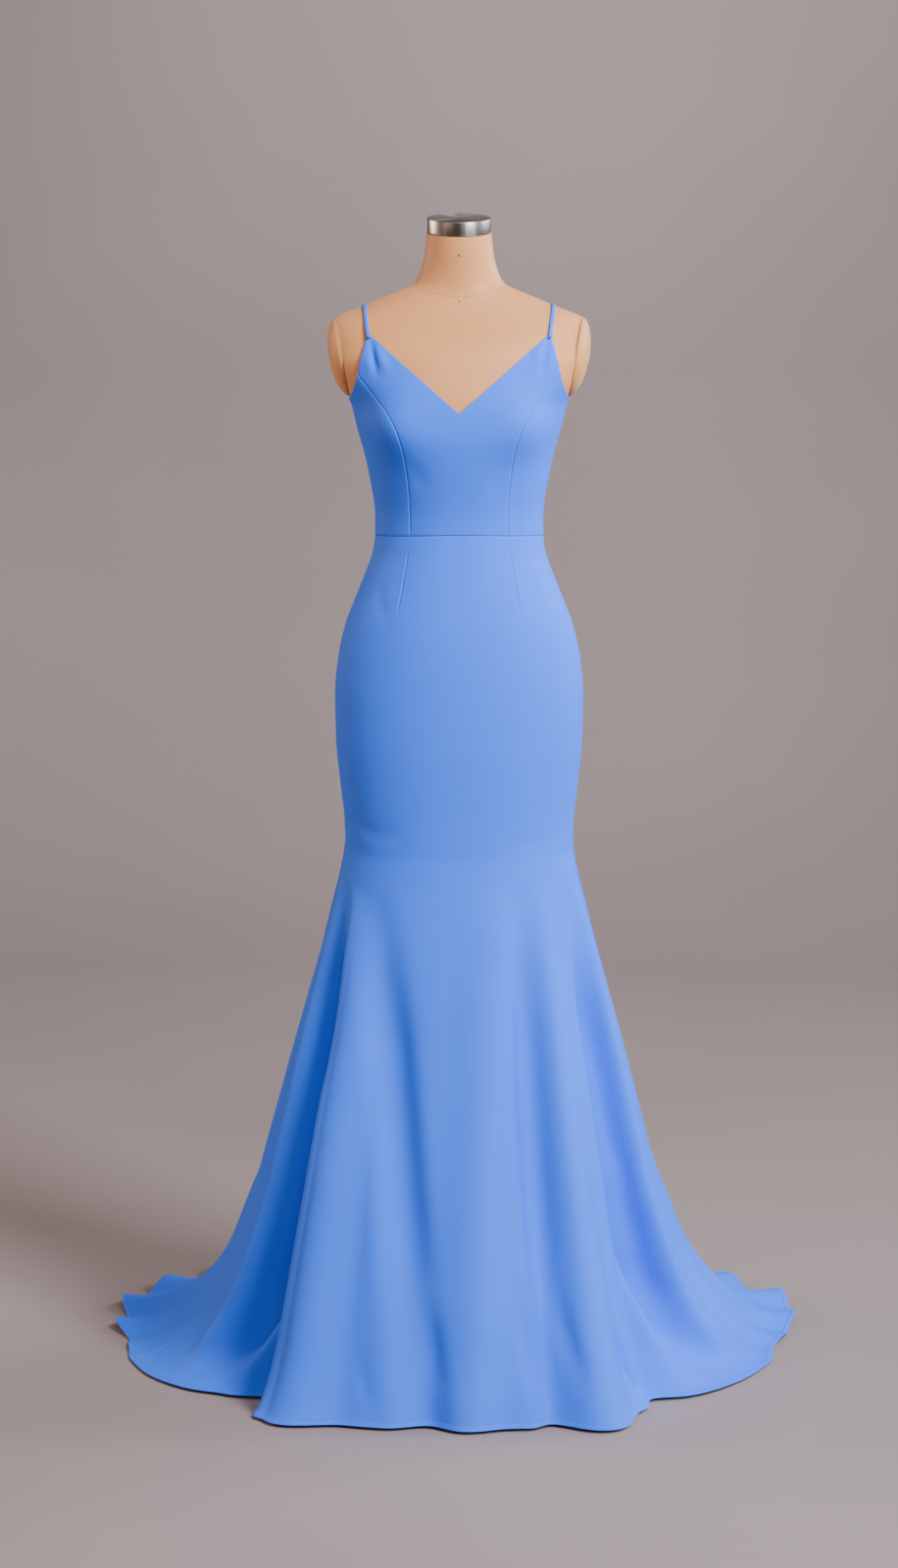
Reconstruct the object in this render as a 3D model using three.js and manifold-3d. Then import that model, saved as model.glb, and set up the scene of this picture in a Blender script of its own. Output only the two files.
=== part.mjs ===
// A long trumpet gown with thin straps and a sweep train, worn by a limbless dress form on a stand.
// Millimetres, +Z up. The gown faces -Y, so the wearer's left is +X.
// The origin is the centre of the stand's underside, on the floor.
import * as THREE from 'three';
import { mergeVertices } from 'three/addons/utils/BufferGeometryUtils.js';
import Module from 'manifold-3d';

const wasm = await Module();
wasm.setup();

// Cloth
const wall = 2;                 // crepe with its seam allowances, as one wall
const ease = 5;                 // from the form's cover to the outside of the cloth
const seam = 0.3;               // gap between neighbouring pieces
const waistHeight = 1181.5;     // waist seam at the sides
const waistRise = 6.5;          // the waist seam is this much higher at the front

// Bodice
const neckPoint = 1354;         // lowest point of the V neck
const strapPoint = { x: 122.3, z: 1457 };   // where a strap meets the front panel
const strapWidth = 5.5;
const strapThickness = 2.5;
const strapTop = 129;           // half distance between the straps on the shoulders
const strapBack = { x: 92, z: 1367 };       // where a strap meets the back edge
const strapCentre = 1400;       // height of the point that a strap's path turns round
const strapSteps = 26;
const strapSides = 8;
const strapRise = 0.16;         // share of a strap over which it rises from the form to the cloth's edge
const underarm = 1367;          // top edge at the side seam and across the back
const armhole = { scoop: 17, forward: 0.55 };  // how deep it curves in, and how near the front

// Closure at the centre back
const zipHalfWidth = 1.3;
const zipTop = 1364;
const zipBottom = 1012;
const zipSteps = 24;
const zipMouth = 6;             // the back seam opens this much below the zip's lower end
const slider = { width: 7, height: 11, depth: 2.2, z: 1356 };
const pin = { radius: 0.7, reach: 4.6, cheek: 1.2, cheekHeight: 4, cheekReach: 6 };
const pull = { length: 24, thickness: 1, eye: 1.7, hole: 1.05, width: 3.8, broad: 6.4, neck: 4.5 };

// Form and stand
const formBottom = 840;
const formSides = 32;           // points in each ring of the form
const neckTilt = 8;             // degrees, the neck's top leans forward
const neckBottom = 1500;
const neckTop = 1595.5;
const neckForward = 8;
const capRadius = 44;
const capHeight = 20;
const capEdge = 1.2;
const armPlate = { x: 158.3, z: 1427, tilt: 10, bulge: 20.5, height: 55, depth: 54, space: 200 };
const poleRadius = 12.5;
const flange = { radius: 45, thickness: 6 };
const base = { radius: 180, thickness: 14, edge: 4, collar: 30, collarTop: 24, collarHeight: 40 };
const bust = { angle: 40, z: 1335, rise: 12, spreadAngle: 17, spreadHeight: 42 };

// The form's cover at each height: half width, depth to the front, depth to the back, roundness.
const formSections = [
  { z: 840, side: 161, front: 107, back: 119, power: 2.15 },
  { z: 880, side: 165, front: 108, back: 126, power: 2.15 },
  { z: 920, side: 167.5, front: 109, back: 131, power: 2.15 },
  { z: 960, side: 167.5, front: 109, back: 134, power: 2.15 },
  { z: 998, side: 165, front: 108, back: 134, power: 2.15 },
  { z: 1025, side: 159.5, front: 107, back: 132, power: 2.15 },
  { z: 1053, side: 153, front: 105, back: 128, power: 2.15 },
  { z: 1080, side: 144, front: 102, back: 121, power: 2.15 },
  { z: 1107, side: 133.5, front: 98, back: 111, power: 2.15 },
  { z: 1135, side: 122.5, front: 93, back: 98, power: 2.15 },
  { z: 1160, side: 114, front: 89, back: 87, power: 2.15 },
  { z: 1182, side: 111, front: 86, back: 81, power: 2.15 },
  { z: 1216, side: 111, front: 89, back: 79, power: 2.15 },
  { z: 1243, side: 115, front: 95, back: 81, power: 2.2 },
  { z: 1270, side: 120, front: 102, back: 85, power: 2.2 },
  { z: 1297, side: 126, front: 109, back: 89, power: 2.25 },
  { z: 1324, side: 134, front: 114, back: 93, power: 2.3 },
  { z: 1351, side: 140.5, front: 114, back: 96, power: 2.3 },
  { z: 1364, side: 142, front: 113, back: 97, power: 2.3 },
  { z: 1375, side: 150, front: 111, back: 98, power: 2.3 },
  { z: 1390, side: 163, front: 107, back: 99, power: 2.3 },
  { z: 1410, side: 175, front: 101, back: 99, power: 2.3 },
  { z: 1430, side: 183, front: 93, back: 96, power: 2.3 },
  { z: 1450, side: 184, front: 82, back: 90, power: 2.3 },
  { z: 1468, side: 180, front: 70, back: 82, power: 2.25 },
  { z: 1480, side: 170, front: 62, back: 74, power: 2.2 },
  { z: 1489, side: 150, front: 57, back: 68, power: 2.2 },
  { z: 1495, side: 133, front: 54, back: 64, power: 2.1 },
  { z: 1501.5, side: 118, front: 51, back: 61, power: 2.1 },
  { z: 1509.5, side: 99, front: 48, back: 58, power: 2 },
  { z: 1517, side: 80, front: 46, back: 55, power: 2 },
  { z: 1525, side: 64, front: 45, back: 53, power: 2 },
  { z: 1534, side: 57, front: 44.5, back: 51, power: 2 },
  { z: 1549, side: 51.5, front: 44, back: 48.5, power: 2 },
  { z: 1565, side: 47.5, front: 44, back: 46, power: 2 },
  { z: 1595.5, side: 44, front: 44, back: 44, power: 2 },
];

// The skirt's outside from the waist seam to the hem: height at the front, height at the back,
// half width, depth to the front and depth to the back. The last rows lie out on the floor behind.
const skirtSections = [
  { zFront: 1181.5, zBack: 1181.5, side: 116, front: 91, back: 86 },
  { zFront: 1160, zBack: 1160, side: 119, front: 94, back: 92 },
  { zFront: 1130, zBack: 1130, side: 129.5, front: 99, back: 105 },
  { zFront: 1095, zBack: 1095, side: 143.5, front: 105, back: 121 },
  { zFront: 1055, zBack: 1055, side: 158.5, front: 110, back: 133 },
  { zFront: 1010, zBack: 1010, side: 168, front: 113, back: 138.5 },
  { zFront: 960, zBack: 960, side: 172.5, front: 114, back: 139 },
  { zFront: 900, zBack: 900, side: 171.5, front: 113.5, back: 134 },
  { zFront: 835, zBack: 835, side: 165.5, front: 112, back: 124 },
  { zFront: 785, zBack: 785, side: 160, front: 111, back: 114.5 },
  { zFront: 750, zBack: 750, side: 159, front: 111, back: 112 },
  { zFront: 715, zBack: 715, side: 164.5, front: 115, back: 116.5 },
  { zFront: 665, zBack: 665, side: 177, front: 124.5, back: 129.5 },
  { zFront: 605, zBack: 605, side: 193, front: 138.5, back: 150 },
  { zFront: 540, zBack: 540, side: 212, front: 156, back: 175 },
  { zFront: 470, zBack: 470, side: 233, front: 176, back: 203 },
  { zFront: 400, zBack: 400, side: 253.5, front: 197, back: 236 },
  { zFront: 330, zBack: 330, side: 275, front: 220, back: 272 },
  { zFront: 265, zBack: 265, side: 295, front: 242, back: 310 },
  { zFront: 205, zBack: 205, side: 317, front: 263, back: 348 },
  { zFront: 150, zBack: 150, side: 338, front: 283, back: 384 },
  { zFront: 105, zBack: 105, side: 362, front: 297, back: 422 },
  { zFront: 70, zBack: 70, side: 388, front: 308, back: 468 },
  { zFront: 43, zBack: 43, side: 417, front: 317, back: 520 },
  { zFront: 24, zBack: 22, side: 446, front: 323, back: 580 },
  { zFront: 12, zBack: 8, side: 473, front: 327, back: 644 },
  { zFront: 5, zBack: 2, side: 500, front: 331, back: 708 },
];
const kneeRow = 11;             // first row below the knee, where the flare and its folds begin
const flareTop = 700;           // height where the folds are born
const skirtPower = 2.15;        // roundness at the hips; the flare is a plain ellipse

// The hem's reach on the floor by the angle from the front, positive to the wearer's left.
const hemPlan = [
  { angle: -200, reach: 684 },
  { angle: -180, reach: 708 },
  { angle: -160, reach: 684 },
  { angle: -142, reach: 628 },
  { angle: -120, reach: 557 },
  { angle: -103, reach: 511 },
  { angle: -91, reach: 470 },
  { angle: -80, reach: 442 },
  { angle: -69, reach: 402 },
  { angle: -62, reach: 364 },
  { angle: -56, reach: 354 },
  { angle: -44, reach: 348 },
  { angle: -31, reach: 350 },
  { angle: -19, reach: 342 },
  { angle: 0, reach: 328 },
  { angle: 14, reach: 337 },
  { angle: 25, reach: 354 },
  { angle: 38, reach: 356 },
  { angle: 52, reach: 346 },
  { angle: 58, reach: 356 },
  { angle: 65, reach: 379 },
  { angle: 76, reach: 409 },
  { angle: 87, reach: 438 },
  { angle: 96, reach: 468 },
  { angle: 104, reach: 497 },
  { angle: 112, reach: 526 },
  { angle: 134, reach: 590 },
  { angle: 160, reach: 684 },
  { angle: 180, reach: 708 },
  { angle: 200, reach: 684 },
];

// Folds of the flare: where each meets the hem, how far its top swings aside, how far it turns
// outwards as it lands, its half width at the hem and at its top in degrees, its height at the
// hem, negative for a valley, and how late it grows on the way down. One that turns fades out
// before the hem.
const folds = [
  { angle: -40, swing: -3, turn: 0, halfHem: 14, halfTop: 13, height: 46, growth: 0.85 },
  { angle: -46.5, swing: 0, turn: 0, halfHem: 4, halfTop: 4, height: 12, growth: 1.15 },
  { angle: -54.5, swing: 0, turn: 0, halfHem: 8, halfTop: 8, height: -30, growth: 0.85 },
  { angle: -54.5, swing: 0, turn: -19, halfHem: 9, halfTop: 8, height: -48, growth: 0.9 },
  { angle: -67, swing: 0, turn: -10, halfHem: 7, halfTop: 7, height: 24, growth: 0.8 },
  { angle: -8, swing: -34, turn: 0, halfHem: 9, halfTop: 15, height: -14, growth: 0.5 },
  { angle: 2, swing: 14, turn: 0, halfHem: 10, halfTop: 20, height: 14, growth: 0.6 },
  { angle: 22.5, swing: 5, turn: 0, halfHem: 6.5, halfTop: 11, height: -20, growth: 0.5 },
  { angle: 33, swing: 0, turn: 0, halfHem: 12, halfTop: 13, height: 38, growth: 0.8 },
  { angle: 54, swing: 0, turn: 0, halfHem: 7, halfTop: 7, height: -20, growth: 0.7 },
  { angle: 57, swing: 0, turn: 17.5, halfHem: 9, halfTop: 8.5, height: -40, growth: 0.8 },
  { angle: 68.5, swing: 0, turn: 15.5, halfHem: 8, halfTop: 8, height: 22, growth: 0.7 },
  { angle: -100, swing: 0, turn: 0, halfHem: 10, halfTop: 11, height: -16, growth: 1 },
  { angle: 98, swing: 0, turn: 0, halfHem: 10, halfTop: 11, height: -16, growth: 1 },
  { angle: -122, swing: 0, turn: 0, halfHem: 11, halfTop: 12, height: 20, growth: 1 },
  { angle: 120, swing: 0, turn: 0, halfHem: 11, halfTop: 12, height: 22, growth: 1 },
  { angle: -143, swing: 0, turn: 0, halfHem: 11, halfTop: 12, height: -24, growth: 1 },
  { angle: 141, swing: 0, turn: 0, halfHem: 11, halfTop: 12, height: -26, growth: 1 },
  { angle: -164, swing: 0, turn: 0, halfHem: 11, halfTop: 12, height: 22, growth: 1 },
  { angle: 163, swing: 0, turn: 0, halfHem: 11, halfTop: 12, height: 20, growth: 1 },
];
const foldDrift = 20;           // degrees that a fold's top lies further round to the side
const driftFall = 0.55;         // how early that drift is lost on the way down
const driftRise = 200;          // height over which it is lost again above the flare
const landing = { height: 300, growth: 1.3, fadeFrom: 5, fadeTo: 70 };  // where folds turn and fade
const behindFrom = 62;          // angles over which the rows pass to their heights at the back
const behindTo = 112;
const waistBlend = 50;          // height over which the skirt's rows take up the waist seam's rise

// Small waves along the edge of the train.
const wave = { start: 93, full: 106, crest: 112.3, spacing: 11.61, lift: 14, reach: 6 };
const waveShare = [0.12, 0.4, 0.75, 1];     // share of a wave in the last rows, the hem last

// Princess seam and the armhole edge above it, seen from the front.
const princessSeam = [
  { z: 1187, x: 66.8 },
  { z: 1213, x: 67 },
  { z: 1240, x: 68 },
  { z: 1270, x: 71.2 },
  { z: 1300, x: 76 },
  { z: 1330, x: 85.2 },
  { z: 1355, x: 98 },
  { z: 1375, x: 113 },
  { z: 1392, x: 127 },
  { z: 1408, x: 137.6 },
  { z: 1424, x: 134.5 },
  { z: 1441, x: 130 },
  { z: 1457, x: 125 },
];
const seamTop = 1408;           // where the princess seam runs into the armhole

const radians = THREE.MathUtils.degToRad;
const lerp = THREE.MathUtils.lerp;
const clamp = THREE.MathUtils.clamp;
const smoothstep = THREE.MathUtils.smoothstep;

// A smooth curve through a table's rows that never overshoots them.
function curveThrough(rows, key, column) {
  const x = rows.map((row) => row[key]);
  const y = rows.map((row) => row[column]);
  const last = x.length - 1;
  const slope = [];
  for (let i = 0; i < last; i++) slope.push((y[i + 1] - y[i]) / (x[i + 1] - x[i]));
  const tangent = slope.map((value, i) => {
    const before = slope[Math.max(i - 1, 0)];
    return before * value <= 0 ? 0 : (2 * before * value) / (before + value);
  });
  tangent.push(slope[last - 1]);
  return (at) => {
    const value = clamp(at, x[0], x[last]);
    let i = 0;
    while (i < last - 1 && value > x[i + 1]) i++;
    const width = x[i + 1] - x[i];
    const t = (value - x[i]) / width;
    const s = 1 - t;
    return y[i] * (1 + 2 * t) * s * s + y[i + 1] * (1 + 2 * s) * t * t
      + width * t * s * (tangent[i] * s - tangent[i + 1] * t);
  };
}

// Reach of a rounded oval from its centre, at an angle from the front.
function ovalReach(angle, side, depth, power) {
  const across = Math.abs(Math.sin(angle)) / side;
  const along = Math.abs(Math.cos(angle)) / depth;
  return (across ** power + along ** power) ** (-1 / power);
}

function polar(angle, reach, z) {
  return new THREE.Vector3(reach * Math.sin(angle), -reach * Math.cos(angle), z);
}

// The form's cover
const form = {};
for (const column of ['side', 'front', 'back', 'power']) {
  form[column] = curveThrough(formSections, 'z', column);
}

function bustRise(angle, z) {
  const aside = (Math.abs(angle) - radians(bust.angle)) / radians(bust.spreadAngle);
  const above = (z - bust.z) / bust.spreadHeight;
  return bust.rise * Math.exp(-aside * aside - above * above);
}

function formReach(angle, z) {
  const depth = Math.cos(angle) > 0 ? form.front(z) : form.back(z);
  return ovalReach(angle, form.side(z), depth, form.power(z)) + bustRise(angle, z);
}

// The bodice's outside, one ease out from the form
function bodicePoint(angle, z) {
  return polar(angle, formReach(angle, z) + ease, z);
}

// The angle at which the bodice's front is x away from the centre line
function angleAcross(x, z) {
  let low = 0;
  let high = Math.PI / 2;
  for (let i = 0; i < 40; i++) {
    const middle = (low + high) / 2;
    if (bodicePoint(middle, z).x < x) low = middle;
    else high = middle;
  }
  return (low + high) / 2;
}

function waistAt(angle) {
  return waistHeight + waistRise * Math.cos(angle);
}

// Joins the sheet's rows with triangles; rows may hold different numbers of points.
function stitch(faces, upper, lower, turned) {
  const add = turned ? (a, b, c) => faces.push(a, c, b) : (a, b, c) => faces.push(a, b, c);
  let i = 0;
  let j = 0;
  while (i < upper.length - 1 || j < lower.length - 1) {
    const nextUpper = i < upper.length - 1 ? upper[i + 1].u : Infinity;
    const nextLower = j < lower.length - 1 ? lower[j + 1].u : Infinity;
    if (nextUpper <= nextLower) {
      add(upper[i].index, lower[j].index, upper[i + 1].index);
      i++;
    } else {
      add(upper[i].index, lower[j].index, lower[j + 1].index);
      j++;
    }
  }
}

function geometryFrom(positions, faces) {
  const geometry = new THREE.BufferGeometry();
  geometry.setAttribute('position', new THREE.Float32BufferAttribute(positions, 3));
  geometry.setIndex(faces);
  geometry.computeVertexNormals();
  return geometry;
}

// A closed wall of cloth from a surface point(u, v), where u runs to the wearer's left and v down.
// The inner sheet is one wall inside the outer one, never below the floor, and its top and bottom
// edges lie level with the outer ones where flatTop or flatBottom says so.
function clothWall(point, rows, { flatTop = false, flatBottom = false } = {}) {
  const positions = [];
  const faces = [];
  const step = 1e-3;
  const outer = [];
  const inner = [];
  const place = (p) => positions.push(p.x, p.y, p.z) / 3 - 1;
  rows.forEach((row, r) => {
    const level = (flatTop && r === 0) || (flatBottom && r === rows.length - 1);
    const outerRow = [];
    const innerRow = [];
    for (const u of row.columns) {
      const here = point(u, row.v);
      const across = point(Math.min(u + step, 1), row.v).sub(point(Math.max(u - step, 0), row.v));
      const down = point(u, Math.min(row.v + step, 1)).sub(point(u, Math.max(row.v - step, 0)));
      const normal = down.cross(across);
      if (level) normal.z = 0;
      normal.normalize();
      const inside = here.clone().addScaledVector(normal, -wall);
      inside.z = Math.max(inside.z, 0);
      outerRow.push({ u, index: place(here) });
      innerRow.push({ u, index: place(inside) });
    }
    outer.push(outerRow);
    inner.push(innerRow);
  });
  const last = rows.length - 1;
  for (let r = 0; r < last; r++) {
    stitch(faces, outer[r], outer[r + 1], false);
    stitch(faces, inner[r], inner[r + 1], true);
    const [a, b, c, d] = [outer[r][0], outer[r + 1][0], inner[r][0], inner[r + 1][0]];
    faces.push(b.index, a.index, c.index, b.index, c.index, d.index);
    const [e, f, g, h] = [outer[r].at(-1), outer[r + 1].at(-1), inner[r].at(-1), inner[r + 1].at(-1)];
    faces.push(e.index, f.index, g.index, f.index, h.index, g.index);
  }
  for (const [r, turned] of [[0, false], [last, true]]) {
    for (let i = 0; i < outer[r].length - 1; i++) {
      const [a, b, c, d] = [outer[r][i], outer[r][i + 1], inner[r][i], inner[r][i + 1]];
      if (turned) faces.push(b.index, a.index, c.index, b.index, c.index, d.index);
      else faces.push(a.index, b.index, d.index, a.index, d.index, c.index);
    }
  }
  return geometryFrom(positions, faces);
}

// Evenly spaced column positions from 0 to 1
function even(count) {
  return Array.from({ length: count + 1 }, (_, i) => i / count);
}

// Skirt
const rowCount = skirtSections.length;
const skirt = {};
const numbered = skirtSections.map((row, index) => ({ ...row, v: index / (rowCount - 1) }));
for (const column of ['zFront', 'zBack', 'side', 'front', 'back']) {
  skirt[column] = curveThrough(numbered, 'v', column);
}
const hemReach = curveThrough(hemPlan, 'angle', 'reach');

// How much of a fold's sideways drift is left at a height: all at its top, none at the hem
function driftLeft(z) {
  const fallen = clamp((flareTop - z) / flareTop, 0, 1);
  const above = clamp((z - flareTop) / driftRise, 0, 1);
  return (1 - fallen ** driftFall) * (1 - above);
}

function foldHeight(hemAngle, z) {
  const flare = clamp((flareTop - z) / flareTop, 0, 1);
  const landed = clamp(1 - z / landing.height, 0, 1) ** landing.growth;
  const left = driftLeft(z);
  let height = 0;
  for (const fold of folds) {
    const half = lerp(fold.halfHem, fold.halfTop, left);
    const centre = fold.angle + fold.swing * left + fold.turn * landed;
    const aside = (hemAngle - centre) / half;
    const kept = fold.turn === 0 ? 1 : smoothstep(z, landing.fadeFrom, landing.fadeTo);
    if (Math.abs(aside) < 1) {
      const grown = flare ** fold.growth;
      height += fold.height * kept * grown * 0.5 * (1 + Math.cos(Math.PI * aside));
    }
  }
  return height;
}

function waveAt(hemAngle, v) {
  const row = v * (rowCount - 1) - (rowCount - waveShare.length);
  if (row < -1) return { share: 0, crest: 0 };
  const below = Math.floor(row);
  const lower = below < 0 ? 0 : waveShare[below];
  const upper = waveShare[Math.min(below + 1, waveShare.length - 1)];
  const share = lerp(lower, upper, row - below) * smoothstep(Math.abs(hemAngle), wave.start, wave.full);
  const around = hemAngle < 0 ? hemAngle + 360 : hemAngle;
  const crest = Math.cos((2 * Math.PI * (around - wave.crest)) / wave.spacing);
  return { share, crest };
}

// A point of the skirt's outside, by the angle at which its column meets the hem
function skirtPoint(hemAngle, v, limits) {
  const behind = smoothstep(Math.abs(hemAngle), behindFrom, behindTo);
  let z = lerp(skirt.zFront(v), skirt.zBack(v), behind);
  const drift = Math.abs(hemAngle) < 90 ? foldDrift * Math.sin(radians(2 * hemAngle)) : 0;
  let angle = radians(hemAngle + drift * driftLeft(z));
  const flare = clamp((flareTop - z) / flareTop, 0, 1);
  const power = lerp(skirtPower, 2, Math.min(1, flare * 2));
  const depth = Math.cos(angle) > 0 ? skirt.front(v) : skirt.back(v);
  const hemDepth = Math.cos(angle) > 0 ? skirt.front(1) : skirt.back(1);
  const plan = hemReach(hemAngle) / ovalReach(angle, skirt.side(1), hemDepth, 2);
  let reach = ovalReach(angle, skirt.side(v), depth, power) * lerp(1, plan, flare * flare);
  reach += foldHeight(hemAngle, z);
  const { share, crest } = waveAt(hemAngle, v);
  reach += wave.reach * share * crest;
  z += wave.lift * share * 0.5 * (1 + crest);
  angle = clamp(angle, limits.from(z) / reach + limits.start, limits.end - limits.to(z) / reach);
  const waistShare = clamp(1 - (waistHeight - z) / waistBlend, 0, 1);
  z += waistRise * Math.cos(angle) * waistShare - (v === 0 ? seam / 2 : 0);
  return polar(angle, reach, z);
}

const halfSeam = () => seam / 2;
const backOpening = (z) => (z > zipBottom - zipMouth ? zipHalfWidth + seam : seam / 2);

// A skirt panel between two seams, with few columns down to the knee and more below it
function skirtPanel(start, end, columns, trainColumns, startGap, endGap) {
  const limits = { start: radians(start), end: radians(end), from: startGap, to: endGap };
  const coarse = columns.filter((_, i) => i % 2 === 0);
  const rows = skirtSections.map((_, index) => {
    let list = index < kneeRow ? coarse : columns;
    if (index >= rowCount - waveShare.length) list = trainColumns;
    return { v: index / (rowCount - 1), columns: list };
  });
  const surface = (u, v) => skirtPoint(lerp(start, end, u), v, limits);
  return clothWall(surface, rows, { flatTop: true });
}

// Column positions that crowd together where the folds are steep: from, to and number of steps
const frontSteps = [
  { from: -90, to: -62, steps: 9 },
  { from: -62, to: -38, steps: 10 },
  { from: -38, to: 46, steps: 18 },
  { from: 46, to: 66, steps: 7 },
  { from: 66, to: 90, steps: 8 },
];
const frontColumns = frontSteps.flatMap(({ from, to, steps }) =>
  even(steps).slice(0, -1).map((share) => (lerp(from, to, share) + 90) / 180));
frontColumns.push(1);

// Bodice panels: v is 0 at the top edge and 1 at the waist seam
const seamX = curveThrough(princessSeam, 'z', 'x');
const seamBottom = waistAt(angleAcross(princessSeam[0].x, princessSeam[0].z)) + seam / 2;
const seamAngle = angleAcross(princessSeam[0].x, seamBottom);
const seamHeights = [seamBottom, ...princessSeam.slice(1).map((row) => row.z)].reverse();
const tipInner = strapPoint.x - strapWidth / 2;
const tipOuter = princessSeam.at(-1).x;

function bodiceFrontCentre() {
  const span = strapPoint.z - seamBottom;
  const tip = tipInner / tipOuter;
  const top = (across) => lerp(neckPoint, strapPoint.z, Math.min(Math.abs(across) / tip, 1));
  const surface = (u, v) => {
    const across = lerp(-1, 1, u);
    const edgeHeight = strapPoint.z - v * span;
    const x = Math.abs(across) * (seamX(edgeHeight) - seam / 2);
    const waist = waistAt(angleAcross(Math.abs(across) * princessSeam[0].x, seamBottom)) + seam / 2;
    const z = lerp(top(across), waist, v);
    return bodicePoint(Math.sign(across) * angleAcross(x, z), z);
  };
  const half = [0, 0.14, 0.28, 0.42, 0.56, 0.7, 0.84, tip, 1];
  const columns = [...half.slice(1).reverse().map((c) => -c), ...half].map((c) => (c + 1) / 2);
  const rows = seamHeights.map((z) => ({ v: (strapPoint.z - z) / span, columns }));
  return clothWall(surface, rows, { flatTop: true, flatBottom: true });
}

const sideRows = seamHeights.filter((z) => z <= seamTop)
  .map((z) => (seamTop - z) / (seamTop - seamBottom));

function sideHeight(v) {
  return lerp(underarm, waistAt(Math.PI / 2) + seam / 2, v);
}

function mirrored(surface) {
  return (u, v) => {
    const p = surface(1 - u, v);
    p.x = -p.x;
    return p;
  };
}

function bodiceSideFront(side) {
  const surface = (u, v) => {
    const edgeHeight = lerp(seamTop, seamBottom, v);
    const start = angleAcross(seamX(edgeHeight) + seam / 2, edgeHeight);
    const sideZ = sideHeight(v);
    const reach = formReach(Math.PI / 2, sideZ) + ease;
    const angle = lerp(start, Math.PI / 2 - seam / 2 / reach, u);
    const scoop = armhole.scoop * Math.sin(Math.PI * u ** armhole.forward) * (1 - v) ** 2;
    const waist = waistAt(lerp(seamAngle, Math.PI / 2, u)) + seam / 2;
    const bow = waist - lerp(seamBottom, sideHeight(1), u);
    return bodicePoint(angle, lerp(edgeHeight, sideZ, u) - scoop + bow * v);
  };
  const rows = sideRows.map((v) => ({ v, columns: even(8) }));
  return clothWall(side > 0 ? surface : mirrored(surface), rows, { flatBottom: true });
}

function bodiceBack(side) {
  const surface = (u, v) => {
    const sideZ = sideHeight(v);
    const reach = formReach(Math.PI / 2, sideZ) + ease;
    const backReach = formReach(Math.PI, sideZ) + ease;
    const end = Math.PI - (zipHalfWidth + seam) / backReach;
    const angle = lerp(Math.PI / 2 + seam / 2 / reach, end, u);
    const z = lerp(underarm, waistAt(angle) + seam / 2, v);
    return bodicePoint(angle, z);
  };
  const rows = sideRows.map((v) => ({ v, columns: even(12) }));
  return clothWall(side > 0 ? surface : mirrored(surface), rows, { flatTop: true, flatBottom: true });
}

// A closed bar through rings of equal size
function ringSolid(rings) {
  const positions = [];
  const faces = [];
  const size = rings[0].length;
  for (const ring of rings) for (const p of ring) positions.push(p.x, p.y, p.z);
  for (let r = 0; r < rings.length - 1; r++) {
    for (let i = 0; i < size; i++) {
      const a = r * size + i;
      const b = r * size + (i + 1) % size;
      faces.push(a, b, b + size, a, b + size, a + size);
    }
  }
  [rings[0], rings.at(-1)].forEach((ring, end) => {
    const centre = ring.reduce((sum, p) => sum.add(p), new THREE.Vector3()).divideScalar(size);
    const hub = positions.push(centre.x, centre.y, centre.z) / 3 - 1;
    const offset = end * (rings.length - 1) * size;
    for (let i = 0; i < size; i++) {
      const a = offset + i;
      const b = offset + (i + 1) % size;
      if (end) faces.push(a, b, hub);
      else faces.push(b, a, hub);
    }
  });
  return geometryFrom(positions, faces);
}

// Straps: each follows the form over the shoulder, sewn to the panels at both ends
function formDistance(p) {
  return Math.hypot(p.x, p.y) - formReach(Math.atan2(p.x, -p.y), p.z);
}

function formNormal(p) {
  const step = 0.5;
  const slope = (axis) => {
    const ahead = p.clone();
    const behind = p.clone();
    ahead[axis] += step;
    behind[axis] -= step;
    return formDistance(ahead) - formDistance(behind);
  };
  return new THREE.Vector3(slope('x'), slope('y'), slope('z')).normalize();
}

// Where a line in the plane of constant x leaves the form, seen from the shoulder's middle
function onForm(x, angle) {
  let low = 0;
  let high = armPlate.x;
  const at = (d) => new THREE.Vector3(x, -d * Math.cos(angle), strapCentre + d * Math.sin(angle));
  for (let i = 0; i < 40; i++) {
    const middle = (low + high) / 2;
    if (formDistance(at(middle)) < 0) low = middle;
    else high = middle;
  }
  return at(low);
}

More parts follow.
